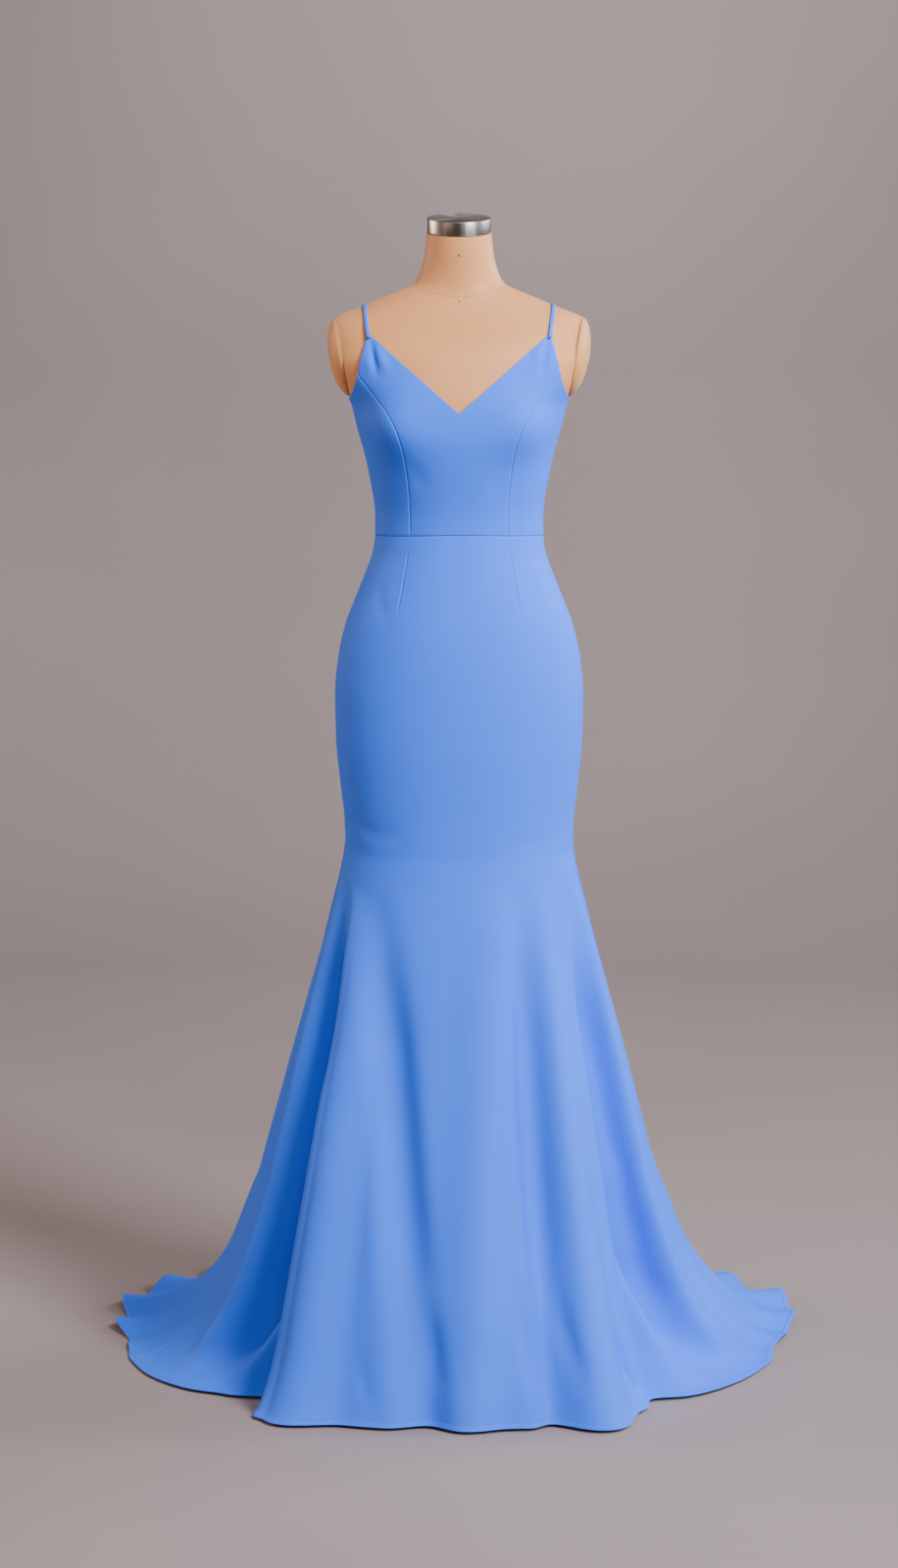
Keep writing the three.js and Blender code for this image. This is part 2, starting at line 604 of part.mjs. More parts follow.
function strap(side) {
  const front = bodicePoint(angleAcross(strapPoint.x, strapPoint.z), strapPoint.z);
  const backAngle = Math.PI - angleAcross(strapBack.x, strapBack.z);
  const back = bodicePoint(backAngle, strapBack.z);
  const from = Math.atan2(front.z - strapCentre, -front.y);
  const to = Math.atan2(back.z - strapCentre, -back.y) + 2 * Math.PI;
  const points = [];
  for (let i = 0; i <= strapSteps; i++) {
    const share = i / strapSteps;
    const angle = lerp(from, to, share);
    const overTop = (angle - from) / (Math.PI / 2 - from);
    const down = (angle - Math.PI / 2) / (to - Math.PI / 2);
    const x = overTop < 1
      ? lerp(strapPoint.x, strapTop, Math.sin(overTop * Math.PI / 2))
      : lerp(strapTop, back.x, 1 - Math.cos(down * Math.PI / 2));
    const surface = onForm(x, angle);
    const normal = formNormal(surface);
    const fromEnd = Math.min(share, 1 - share);
    const nearEnd = smoothstep(strapRise - fromEnd, 0, strapRise);
    const lift = lerp(seam + strapThickness / 2 + 0.1, ease - wall / 2, nearEnd);
    points.push({ place: surface.addScaledVector(normal, lift), normal });
  }
  const rings = points.map(({ place, normal }, i) => {
    const ahead = points[Math.min(i + 1, strapSteps)].place;
    const behind = points[Math.max(i - 1, 0)].place;
    const along = ahead.clone().sub(behind).normalize();
    const across = normal.clone().cross(along).normalize();
    const out = along.clone().cross(across);
    const ring = [];
    for (let k = 0; k < strapSides; k++) {
      const turn = (2 * Math.PI * (k + 0.5)) / strapSides;
      const p = place.clone()
        .addScaledVector(across, (strapWidth / 2) * Math.cos(turn))
        .addScaledVector(out, (strapThickness / 2) * Math.sin(turn));
      const level = i === 0 ? strapPoint.z + seam : strapBack.z + seam;
      if (i === 0 || i === strapSteps) p.addScaledVector(along, (level - p.z) / along.z);
      ring.push(p);
    }
    return ring;
  });
  if (side < 0) {
    for (const ring of rings) {
      for (const p of ring) p.x = -p.x;
      ring.reverse();
    }
  }
  return ringSolid(rings);
}

// The zip's closed teeth, a narrow strip between the back panels
function zipTeeth() {
  const skirtOut = (z) => {
    const below = skirtSections.findIndex((section) => section.zBack < z);
    const [lower, upper] = [skirtSections[below], skirtSections[below - 1]];
    return lerp(lower.back, upper.back, (z - lower.zBack) / (upper.zBack - lower.zBack));
  };
  const rings = even(zipSteps).map((share) => {
    const z = lerp(zipBottom, zipTop, share);
    const out = z > waistHeight ? formReach(Math.PI, z) + ease : skirtOut(z);
    return [
      new THREE.Vector3(-zipHalfWidth, out - wall, z),
      new THREE.Vector3(zipHalfWidth, out - wall, z),
      new THREE.Vector3(zipHalfWidth, out, z),
      new THREE.Vector3(-zipHalfWidth, out, z),
    ];
  });
  return ringSolid(rings);
}

// Solids for joining and cutting
function solidFrom(geometry) {
  const plain = geometry.clone();
  plain.deleteAttribute('normal');
  plain.deleteAttribute('uv');
  const merged = mergeVertices(plain, 1e-4);
  return new wasm.Manifold(new wasm.Mesh({
    numProp: 3,
    vertProperties: new Float32Array(merged.attributes.position.array),
    triVerts: new Uint32Array(merged.index.array),
  }));
}

function geometryOf(solid) {
  const mesh = solid.getMesh();
  return geometryFrom(Array.from(mesh.vertProperties), Array.from(mesh.triVerts));
}

// The zip's slider: a plate on the teeth with two cheeks and a pin for the pull tab
function zipSlider() {
  const plate = new THREE.BoxGeometry(slider.width, slider.depth, slider.height);
  plate.translate(0, seam + slider.depth / 2, 0);
  let solid = solidFrom(plate);
  const cheekDepth = pin.cheekReach - slider.depth;
  for (const side of [-1, 1]) {
    const cheek = new THREE.BoxGeometry(pin.cheek, cheekDepth, pin.cheekHeight);
    cheek.translate(side * (slider.width - pin.cheek) / 2, slider.depth + cheekDepth / 2, 0);
    solid = solid.add(solidFrom(cheek));
  }
  const bar = new THREE.CylinderGeometry(pin.radius, pin.radius, slider.width - pin.cheek, 12);
  bar.rotateZ(Math.PI / 2).translate(0, pin.reach, 0);
  return geometryOf(solid.add(solidFrom(bar)));
}

// The pull tab: an eye on the pin and a drop-shaped plate that hangs from it
function zipPull() {
  const ring = new THREE.Shape();
  ring.absarc(0, 0, pull.eye, 0, 2 * Math.PI);
  ring.holes.push(new THREE.Path().absarc(0, 0, pull.hole, 0, 2 * Math.PI));
  const eye = new THREE.ExtrudeGeometry(ring, {
    depth: pull.width, bevelEnabled: false, curveSegments: 10,
  });
  eye.translate(0, 0, -pull.width / 2).rotateY(Math.PI / 2);
  const neck = pull.width / 2 - seam;
  const broadest = -pull.length + pull.broad / 2;
  const drop = new THREE.Shape();
  drop.moveTo(-neck, -(pull.hole + pull.eye) / 2);
  drop.lineTo(-neck, -pull.neck);
  drop.lineTo(-pull.broad / 2, broadest);
  drop.absarc(0, broadest, pull.broad / 2, Math.PI, 2 * Math.PI);
  drop.lineTo(neck, -pull.neck);
  drop.lineTo(neck, -(pull.hole + pull.eye) / 2);
  const plate = new THREE.ExtrudeGeometry(drop, {
    depth: pull.thickness, bevelEnabled: false, curveSegments: 8,
  });
  plate.translate(0, 0, -pull.thickness / 2).rotateX(Math.PI / 2);
  return geometryOf(solidFrom(eye).add(solidFrom(plate)));
}

// Form: rings up to the leaning neck, with a flat plate cut at each arm
function torso() {
  const tilt = Math.tan(radians(neckTilt));
  const rings = formSections.map(({ z }) => {
    const share = smoothstep(z, neckBottom, neckTop);
    const ring = [];
    for (let i = 0; i < formSides; i++) {
      const angle = (2 * Math.PI * i) / formSides;
      const p = polar(angle, formReach(angle, z), z);
      p.z += p.y * tilt * share;
      p.y -= neckForward * share;
      ring.push(p);
    }
    return ring;
  });
  let solid = solidFrom(ringSolid(rings));
  for (const side of [-1, 1]) {
    solid = solid.subtract(solidFrom(armSpace(side, 0)));
  }
  return geometryOf(solid);
}

// A block outside an arm plate's plane, moved out by a gap
function armSpace(side, gap) {
  const block = new THREE.BoxGeometry(armPlate.space, 1.5 * armPlate.space, armPlate.space);
  block.translate(armPlate.space / 2 + gap, 0, 0);
  block.rotateY(radians(armPlate.tilt));
  block.translate(armPlate.x, 0, armPlate.z);
  if (side < 0) block.rotateZ(Math.PI);
  return block;
}

function shoulderCap(side) {
  const dome = new THREE.SphereGeometry(1, 28, 16);
  dome.rotateX(Math.PI / 2);
  dome.scale(armPlate.bulge, armPlate.depth, armPlate.height);
  dome.rotateY(radians(armPlate.tilt));
  dome.translate(armPlate.x, 0, armPlate.z);
  if (side < 0) dome.rotateZ(Math.PI);
  return geometryOf(solidFrom(dome).intersect(solidFrom(armSpace(side, seam))));
}

// A turned piece from its outline of radius and height
function turned(outline, segments = 48) {
  const points = outline.map(([radius, z]) => new THREE.Vector2(radius, z));
  const lathe = new THREE.LatheGeometry(points, segments);
  return mergeVertices(lathe.deleteAttribute('uv').deleteAttribute('normal'), 1e-4)
    .rotateX(Math.PI / 2);
}

function neckCap() {
  const outline = [
    [0, 0], [capRadius - capEdge / 2, 0], [capRadius, capEdge / 2],
    [capRadius, capHeight - capEdge], [capRadius - capEdge, capHeight], [0, capHeight],
  ];
  return turned(outline, 40);
}

function pole() {
  const top = formBottom - flange.thickness - 2 * seam;
  const bottom = base.thickness + base.collarHeight + seam;
  return turned([[0, bottom], [poleRadius, bottom], [poleRadius, top], [0, top]], 28);
}

// The plate under the form that the pole is screwed to
function flangePlate() {
  const top = formBottom - seam;
  const bottom = top - flange.thickness;
  return turned([[0, bottom], [flange.radius, bottom], [flange.radius, top], [0, top]], 28);
}

function standBase() {
  return turned([
    [0, 0], [base.radius, 0], [base.radius, base.thickness - base.edge],
    [base.radius - base.edge, base.thickness], [base.collar, base.thickness],
    [base.collarTop, base.thickness + base.collarHeight], [0, base.thickness + base.collarHeight],
  ]);
}

const finish = (color, roughness, metalness = 0) =>
  new THREE.MeshStandardMaterial({ color, roughness, metalness });

const crepe = () => finish(0x6ea2ea, 0.75);
const cover = () => finish(0xc79f78, 0.6);
const steel = () => finish(0xb4b2ae, 0.3, 1);

const gown = new THREE.Group();

function add(name, geometry, material, position = [0, 0, 0]) {
  const mesh = new THREE.Mesh(geometry, material);
  mesh.name = name;
  mesh.position.set(...position);
  gown.add(mesh);
  return mesh;
}

add('skirt_front', skirtPanel(-90, 90, frontColumns, frontColumns, halfSeam, halfSeam), crepe());
add('skirt_back_left',
  skirtPanel(90, 180, even(20), even(40), halfSeam, backOpening), crepe());
add('skirt_back_right',
  skirtPanel(-180, -90, even(20), even(40), backOpening, halfSeam), crepe());
add('bodice_front_centre', bodiceFrontCentre(), crepe());
for (const [name, side] of [['left', 1], ['right', -1]]) {
  add(`bodice_side_front_${name}`, bodiceSideFront(side), crepe());
  add(`bodice_back_${name}`, bodiceBack(side), crepe());
  add(`strap_${name}`, strap(side), crepe());
}

const sliderOut = formReach(Math.PI, slider.z + slider.height / 2) + ease;
add('zip_teeth', zipTeeth(), crepe());
add('zip_slider', zipSlider(), finish(0x8fb4ea, 0.4, 0.6), [0, sliderOut, slider.z]);
add('zip_pull', zipPull(), finish(0x8fb4ea, 0.4, 0.6), [0, sliderOut + pin.reach, slider.z]);

add('form_torso', torso(), cover());
for (const [name, side] of [['left', 1], ['right', -1]]) {
  add(`form_shoulder_cap_${name}`, shoulderCap(side), cover());
}
const lean = radians(neckTilt);
const capSeat = [0, -neckForward - seam * Math.sin(lean), neckTop + seam * Math.cos(lean) + 0.05];
add('form_neck_cap', neckCap(), steel(), capSeat).rotation.x = lean;
add('form_flange', flangePlate(), steel());
add('form_pole', pole(), steel());
add('form_base', standBase(), finish(0x3a3a3c, 0.45, 0.8));

export default gown;
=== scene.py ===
# %% [markdown]
# # A long crepe trumpet gown on a dress form
#
# The real thing is a light blue gown of heavy matte crepe. It is cut close down to the knee, flares
# out below it and ends in a sweep train. It is worn by a padded form without arms, on a steel stand.
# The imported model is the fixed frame: every piece below is built in metres around it, and either
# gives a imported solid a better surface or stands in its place.

# %% Load the fixed frame
import math

import bpy
import numpy as np
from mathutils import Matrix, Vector


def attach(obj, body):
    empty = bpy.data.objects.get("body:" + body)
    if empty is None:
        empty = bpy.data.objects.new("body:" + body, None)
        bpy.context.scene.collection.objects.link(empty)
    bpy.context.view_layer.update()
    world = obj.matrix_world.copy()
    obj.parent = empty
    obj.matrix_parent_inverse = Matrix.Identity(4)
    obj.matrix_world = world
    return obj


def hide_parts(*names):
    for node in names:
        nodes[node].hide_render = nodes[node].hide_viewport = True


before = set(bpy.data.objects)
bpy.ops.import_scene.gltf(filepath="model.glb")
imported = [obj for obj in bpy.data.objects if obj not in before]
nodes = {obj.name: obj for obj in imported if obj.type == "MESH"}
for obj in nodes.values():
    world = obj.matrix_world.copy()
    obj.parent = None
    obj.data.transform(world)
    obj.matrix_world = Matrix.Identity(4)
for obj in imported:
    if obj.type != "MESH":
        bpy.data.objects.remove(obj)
bpy.ops.object.select_all(action="DESELECT")
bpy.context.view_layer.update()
print("packed nodes:", len(nodes))

# %% [markdown]
# ## The measurements
#
# A gown is drafted from body measurements, and so is this one. The form is given by ovals at a few
# heights, the skirt by ovals from the waist to the hem, and the train by its outline on the floor.
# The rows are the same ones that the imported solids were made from, so the fine cloth lies on them.

# %% Body and gown measurements, in metres and degrees
WALL = 0.0014             # crepe with its lining
EASE = 0.005              # from the form's cover to the outside of the cloth
SEAM = 0.0003             # gap between neighbouring pieces
WAIST, WAIST_RISE = 1.1815, 0.0065
NECK_POINT = 1.354        # lowest point of the V
STRAP_X, STRAP_Z = 0.1223, 1.457
STRAP_WIDTH, STRAP_THICK = 0.0055, 0.0025
STRAP_TOP_X = 0.129
STRAP_BACK_X, STRAP_BACK_Z = 0.092, 1.367
UNDERARM, SCOOP = 1.367, 0.017
ZIP_HALF, ZIP_TOP, ZIP_BOTTOM = 0.0013, 1.364, 1.012
FLARE_TOP = 0.7
SEAM_TOP = 1.408
HEM_LINE, STITCH_PITCH = 0.0082, 0.0028   # hem stitches: from the edge, and from each other

# height, half width, depth to the front, depth to the back, roundness
FORM = np.array([
    (.84, .161, .107, .119, 2.15), (.88, .165, .108, .126, 2.15),
    (.92, .1675, .109, .131, 2.15), (.96, .1675, .109, .134, 2.15),
    (.998, .165, .108, .134, 2.15), (1.025, .1595, .107, .132, 2.15),
    (1.053, .153, .105, .128, 2.15), (1.08, .144, .102, .121, 2.15),
    (1.107, .1335, .098, .111, 2.15), (1.135, .1225, .093, .098, 2.15),
    (1.16, .114, .089, .087, 2.15), (1.182, .111, .086, .081, 2.15),
    (1.216, .111, .089, .079, 2.15), (1.243, .115, .095, .081, 2.2),
    (1.27, .12, .102, .085, 2.2), (1.297, .126, .109, .089, 2.25),
    (1.324, .134, .114, .093, 2.3), (1.351, .1405, .114, .096, 2.3),
    (1.364, .142, .113, .097, 2.3), (1.375, .15, .111, .098, 2.3),
    (1.39, .163, .107, .099, 2.3), (1.41, .175, .101, .099, 2.3),
    (1.43, .183, .093, .096, 2.3), (1.45, .184, .082, .09, 2.3),
    (1.468, .18, .07, .082, 2.25), (1.48, .17, .062, .074, 2.2),
    (1.489, .15, .057, .068, 2.2), (1.495, .133, .054, .064, 2.1),
    (1.5015, .118, .051, .061, 2.1), (1.5095, .099, .048, .058, 2),
    (1.517, .08, .046, .055, 2), (1.525, .064, .045, .053, 2),
    (1.534, .057, .0445, .051, 2), (1.549, .0515, .044, .0485, 2),
    (1.565, .0475, .044, .046, 2), (1.5955, .044, .044, .044, 2),
])

# height at the front, height at the back, half width, depth to the front, depth to the back
SKIRT = np.array([
    (1.1815, 1.1815, .116, .091, .086), (1.16, 1.16, .119, .094, .092),
    (1.13, 1.13, .1295, .099, .105), (1.095, 1.095, .1435, .105, .121),
    (1.055, 1.055, .1585, .11, .133), (1.01, 1.01, .168, .113, .1385),
    (.96, .96, .1725, .114, .139), (.9, .9, .1715, .1135, .134),
    (.835, .835, .1655, .112, .124), (.785, .785, .16, .111, .1145),
    (.75, .75, .159, .111, .112), (.715, .715, .1645, .115, .1165),
    (.665, .665, .177, .1245, .1295), (.605, .605, .193, .1385, .15),
    (.54, .54, .212, .156, .175), (.47, .47, .233, .176, .203),
    (.4, .4, .2535, .197, .236), (.33, .33, .275, .22, .272),
    (.265, .265, .295, .242, .31), (.205, .205, .317, .263, .348),
    (.15, .15, .338, .283, .384), (.105, .105, .362, .297, .422),
    (.07, .07, .388, .308, .468), (.043, .043, .417, .317, .52),
    (.024, .022, .446, .323, .58), (.012, .008, .473, .327, .644),
    (.005, .002, .5, .331, .708),
])

# angle from the front, positive to the wearer's left, and the hem's reach on the floor
HEM_PLAN = np.array([
    (-200, .684), (-180, .708), (-160, .684), (-142, .628), (-120, .557), (-103, .511),
    (-91, .470), (-80, .442), (-69, .402), (-62, .364), (-56, .354), (-44, .348),
    (-31, .350), (-19, .342), (0, .328), (14, .337), (25, .354), (38, .356), (52, .346),
    (58, .356), (65, .379), (76, .409), (87, .438), (96, .468), (104, .497), (112, .526),
    (134, .59), (160, .684), (180, .708), (200, .684),
])

# angle at the hem, how far the top swings aside, how far the fold turns outwards as it lands,
# half width at the hem and at the top, the height at the hem, negative for a valley, and how
# late it grows on the way down
FOLDS = [
    (-40, -3, 0, 14, 13, .046, .85), (-46.5, 0, 0, 4, 4, .012, 1.15),
    (-54.5, 0, 0, 8, 8, -.03, .85), (-54.5, 0, -19, 9, 8, -.048, .9), (-67, 0, -10, 7, 7, .024, .8),
    (-8, -34, 0, 9, 15, -.014, .5), (2, 14, 0, 10, 20, .014, .6),
    (22.5, 5, 0, 6.5, 11, -.02, .5), (33, 0, 0, 12, 13, .038, .8), (54, 0, 0, 7, 7, -.02, .7),
    (57, 0, 17.5, 9, 8.5, -.04, .8), (68.5, 0, 15.5, 8, 8, .022, .7), (-100, 0, 0, 10, 11, -.016, 1),
    (98, 0, 0, 10, 11, -.016, 1), (-122, 0, 0, 11, 12, .02, 1), (120, 0, 0, 11, 12, .022, 1),
    (-143, 0, 0, 11, 12, -.024, 1), (141, 0, 0, 11, 12, -.026, 1), (-164, 0, 0, 11, 12, .022, 1),
    (163, 0, 0, 11, 12, .02, 1),
]
LANDING = 0.3             # height below which folds turn outwards
FOLD_DRIFT = 20           # degrees that a fold's top lies further round to the side
WAVE_START, WAVE_FULL, WAVE_CREST, WAVE_SPACING = 93, 106, 112.3, 11.61
WAVE_LIFT, WAVE_REACH = 0.014, 0.006
WAVE_SHARE = [0, 0.12, 0.4, 0.75, 1]      # share of a wave in the last rows, the hem last

# height and distance from the centre line of the princess seam and the armhole above it
PRINCESS = np.array([
    (1.187, .0668), (1.213, .067), (1.24, .068), (1.27, .0712), (1.3, .076), (1.33, .0852),
    (1.355, .098), (1.375, .113), (1.392, .127), (1.408, .1376), (1.424, .1345),
    (1.441, .13), (1.457, .125),
])
print("form sections:", len(FORM), " skirt sections:", len(SKIRT), " folds:", len(FOLDS))

# %% [markdown]
# ## Surfaces
#
# Cloth that is pulled smooth has no corners, so each column of measurements becomes a smooth curve
# that never overshoots. A point of the form is then an oval's reach at its height and angle. Working
# on whole arrays at once keeps a sheet of forty thousand points quick.

# %% Smooth curves and ovals
def curve_through(x, y):
    """A smooth curve through a table's rows that never overshoots them."""
    x, y = np.asarray(x, float), np.asarray(y, float)
    slope = np.diff(y) / np.diff(x)
    before = np.concatenate([slope[:1], slope[:-1]])
    same = before * slope > 0
    total = np.where(same, before + slope, 1)
    tangent = np.append(np.where(same, 2 * before * slope / total, 0), slope[-1])

    def at(value):
        value = np.clip(value, x[0], x[-1])
        i = np.clip(np.searchsorted(x, value) - 1, 0, len(slope) - 1)
        width = x[i + 1] - x[i]
        t = (value - x[i]) / width
        s = 1 - t
        return (y[i] * (1 + 2 * t) * s * s + y[i + 1] * (1 + 2 * s) * t * t
                + width * t * s * (tangent[i] * s - tangent[i + 1] * t))

    return at


def lerp(a, b, share):
    return a + (b - a) * share


def smooth(value, low, high):
    t = np.clip((value - low) / (high - low), 0, 1)
    return t * t * (3 - 2 * t)


def oval_reach(angle, side, depth, power):
    across = np.abs(np.sin(angle)) / side
    along = np.abs(np.cos(angle)) / depth
    return (across ** power + along ** power) ** (-1 / power)


def polar(angle, reach, z):
    parts = np.broadcast_arrays(reach * np.sin(angle), -reach * np.cos(angle), z)
    return np.stack(parts, axis=-1)


# %% The form's cover and the bodice over it
def softened(curve, spread=0.010, until=1.37, step=0.001, steps=30):
    """The same curve with the table's corners eased below the shoulders."""
    heights = np.arange(FORM[0, 0], FORM[-1, 0], step)
    plain = curve(heights)
    weights = np.exp(-0.5 * (np.arange(-steps, steps + 1) * step / spread) ** 2)
    eased = np.convolve(np.pad(plain, steps, mode="edge"), weights / weights.sum(), mode="valid")
    eased = lerp(eased, plain, smooth(heights, until, until + 0.05))
    return lambda z: np.interp(z, heights, eased)


form_side, form_front, form_back, form_power = (
    softened(curve_through(FORM[:, 0], FORM[:, i])) for i in range(1, 5))
BUST = {"angle": math.radians(40), "z": 1.335, "rise": 0.012, "wide": math.radians(17), "high": 0.042}


def form_reach(angle, z):
    depth = np.where(np.cos(angle) > 0, form_front(z), form_back(z))
    aside = (np.abs(angle) - BUST["angle"]) / BUST["wide"]
    above = (z - BUST["z"]) / BUST["high"]
    bust = BUST["rise"] * np.exp(-aside * aside - above * above)
    return oval_reach(angle, form_side(z), depth, form_power(z)) + bust


def bodice_point(angle, z):
    return polar(angle, form_reach(angle, z) + EASE, z)


def angle_across(x, z):
    """The angle at which the bodice's front is x away from the centre line."""
    x, z = np.broadcast_arrays(np.asarray(x, float), np.asarray(z, float))
    low, high = np.zeros(x.shape), np.full(x.shape, math.pi / 2)
    for _ in range(40):
        middle = (low + high) / 2
        inside = bodice_point(middle, z)[..., 0] < x
        low, high = np.where(inside, middle, low), np.where(inside, high, middle)
    return (low + high) / 2


def waist_at(angle):
    return WAIST + WAIST_RISE * np.cos(angle)


print("bust depth of the bodice:", round(float(-bodice_point(math.radians(40), 1.335)[1]), 4))

# %% [markdown]
# ## The flare and the train
#
# Below the knee a trumpet skirt has more cloth than the body needs, and it falls in deep soft folds.
# Each fold here is a rounded ridge or valley that is born at the knee, grows towards the floor and
# swings a little to the front on its way. At the back the same rows run out on the floor as a train,
# whose edge lifts in small waves.

# %% The skirt's surface
skirt_rows = np.linspace(0, 1, len(SKIRT))
skirt_zf, skirt_zb, skirt_side, skirt_front, skirt_back = (
    curve_through(skirt_rows, SKIRT[:, i]) for i in range(5))
hem_reach = curve_through(HEM_PLAN[:, 0], HEM_PLAN[:, 1])


def drift_left(z):
    """How much of a fold's sideways drift is left: all at its top, none at the hem."""
    fallen = np.clip((FLARE_TOP - z) / FLARE_TOP, 0, 1)
    above = np.clip((z - FLARE_TOP) / 0.2, 0, 1)
    return (1 - fallen ** 0.55) * (1 - above)


def fold_height(hem, z):
    flare = np.clip((FLARE_TOP - z) / FLARE_TOP, 0, 1)
    landed = np.clip(1 - z / LANDING, 0, 1) ** 1.3
    left = drift_left(z)
    height = np.zeros(np.broadcast(hem, z).shape)
    for angle, swing, turn, half_hem, half_top, rise, growth in FOLDS:
        centre = angle + swing * left + turn * landed
        aside = np.clip((hem - centre) / lerp(half_hem, half_top, left), -1, 1)
        kept = smooth(z, 0.005, 0.07) if turn else 1
        height += rise * kept * flare ** growth * 0.5 * (1 + np.cos(math.pi * aside))
    return height


def wave_at(hem, v):
    row = np.clip(v * (len(SKIRT) - 1) - (len(SKIRT) - len(WAVE_SHARE)), 0, None)
    share = np.interp(row, range(len(WAVE_SHARE)), WAVE_SHARE)
    share = share * smooth(np.abs(hem), WAVE_START, WAVE_FULL)
    around = np.where(hem < 0, hem + 360, hem)
    return share, np.cos(2 * math.pi * (around - WAVE_CREST) / WAVE_SPACING)


def skirt_point(hem, v, start, end, start_gap, end_gap):
    """A point of the skirt's outside, by the angle at which its column meets the hem."""
    behind = smooth(np.abs(hem), 62, 112)
    z = lerp(skirt_zf(v), skirt_zb(v), behind)
    drift = np.where(np.abs(hem) < 90, FOLD_DRIFT * np.sin(np.radians(2 * hem)), 0)
    angle = np.radians(hem + drift * drift_left(z))
    flare = np.clip((FLARE_TOP - z) / FLARE_TOP, 0, 1)
    power = lerp(2.15, 2, np.minimum(1, flare * 2))
    ahead = np.cos(angle) > 0
    depth = np.where(ahead, skirt_front(v), skirt_back(v))
    hem_depth = np.where(ahead, skirt_front(1), skirt_back(1))
    plan = hem_reach(hem) / oval_reach(angle, skirt_side(1), hem_depth, 2)
    reach = oval_reach(angle, skirt_side(v), depth, power) * lerp(1, plan, flare * flare)
    reach = reach + fold_height(hem, z)
    share, crest = wave_at(hem, v)
    reach = reach + WAVE_REACH * share * crest
    z = z + WAVE_LIFT * share * 0.5 * (1 + crest)
    low = math.radians(start) + start_gap(z) / reach
    high = math.radians(end) - end_gap(z) / reach
    angle = np.clip(angle, low, high)
    z = z + WAIST_RISE * np.cos(angle) * np.clip(1 - (WAIST - z) / 0.05, 0, 1)
    return polar(angle, reach, z - np.where(v == 0, SEAM / 2, 0))


def half_seam(z):
    return np.full(np.shape(z), SEAM / 2)


def zip_gap(z):
    return np.where(z > ZIP_BOTTOM - 0.006, ZIP_HALF + SEAM, SEAM / 2)


print("train reaches", round(float(hem_reach(180)), 3), "m behind the stand")

# %% [markdown]
# ## From a surface to a sheet of cloth
#
# A sheet of cloth is a closed wall: an outer face, a lining one wall inside it and rounded edges
# between them. The two faces share one grid, so seams, darts, drag lines and the hem can be pressed
# into both together. Rows and columns crowd near the edges, where a seam turns the cloth inwards.
# Each point also keeps its distance from the seam and from the hem, for the stitches in the finish,
# and its place on the flat cloth, for the grain. The cut of a panel is measured on its plain form,
# before the creases are pressed in.

# %% Grids and normals
def crowded(width, near=0.006, steps=6, inner=60, extra=()):
    """Positions from 0 to 1 that crowd at both ends of a piece of this width in metres."""
    ends = np.array([(i / steps) ** 1.6 * near / width for i in range(steps)])
    middle = np.linspace(near / width, 1 - near / width, inner)
    return np.unique(np.concatenate([ends, middle, 1 - ends, np.asarray(extra, float)]))


def normals_of(points):
    """Outward directions of a grid whose rows run down and whose columns run to the left."""
    down, across = np.gradient(points, axis=0), np.gradient(points, axis=1)
    normal = np.cross(down, across)
    return normal / np.maximum(np.linalg.norm(normal, axis=-1, keepdims=True), 1e-12)


def lengths_along(points, axis):
    """Distance walked along each row or column from its first point."""
    step = np.linalg.norm(np.diff(points, axis=axis), axis=-1)
    start = np.zeros_like(np.take(step, [0], axis=axis))
    return np.cumsum(np.concatenate([start, step], axis=axis), axis=axis)


# %% Pressing lines into the cloth
def press(points, lines):
    """Moves a grid along its normals by soft ridges and troughs. A line is its path, its
    height, negative for a trough, its half width, and the share of it that fades at each end."""
    normal = normals_of(points)
    rise = np.zeros(points.shape[:2])
    for path, height, width, fade in lines:
        path = np.asarray(path, float)
        legs = np.linalg.norm(np.diff(path, axis=0), axis=1)
        walked = np.concatenate([[0], np.cumsum(legs)])
        near = np.full(points.shape[:2], 9.0)
        place = np.zeros(points.shape[:2])
        box = np.all((points > path.min(0) - 3 * width) & (points < path.max(0) + 3 * width), axis=-1)
        for i in range(len(legs)):
            leg = path[i + 1] - path[i]
            share = np.clip((points[box] - path[i]) @ leg / legs[i] ** 2, 0, 1)
            apart = np.linalg.norm(points[box] - path[i] - share[:, None] * leg, axis=-1)
            closer = apart < near[box]
            near[box] = np.where(closer, apart, near[box])
            place[box] = np.where(closer, (walked[i] + share * legs[i]) / walked[-1], place[box])
        ends = smooth(place, 0, fade) * smooth(1 - place, 0, fade)
        rise += height * np.exp(-(near / width) ** 2) * ends
    return points + normal * rise[..., None]


# %% Closing the wall
cuts = {}


def panel(name, plain, lines, **seams):
    """A cloth whose cut is that of the plain panel, before any crease is pressed in."""
    across, down = lengths_along(plain, 1), lengths_along(plain, 0)
    quads = np.cross(np.diff(plain, axis=0)[:, :-1], np.diff(plain, axis=1)[:-1])
    area = float(np.linalg.norm(quads, axis=-1).sum())
    cuts[name] = float(across[:, -1].max()), float(down[-1].mean()), area
    return cloth(name, press(plain, lines), **seams)


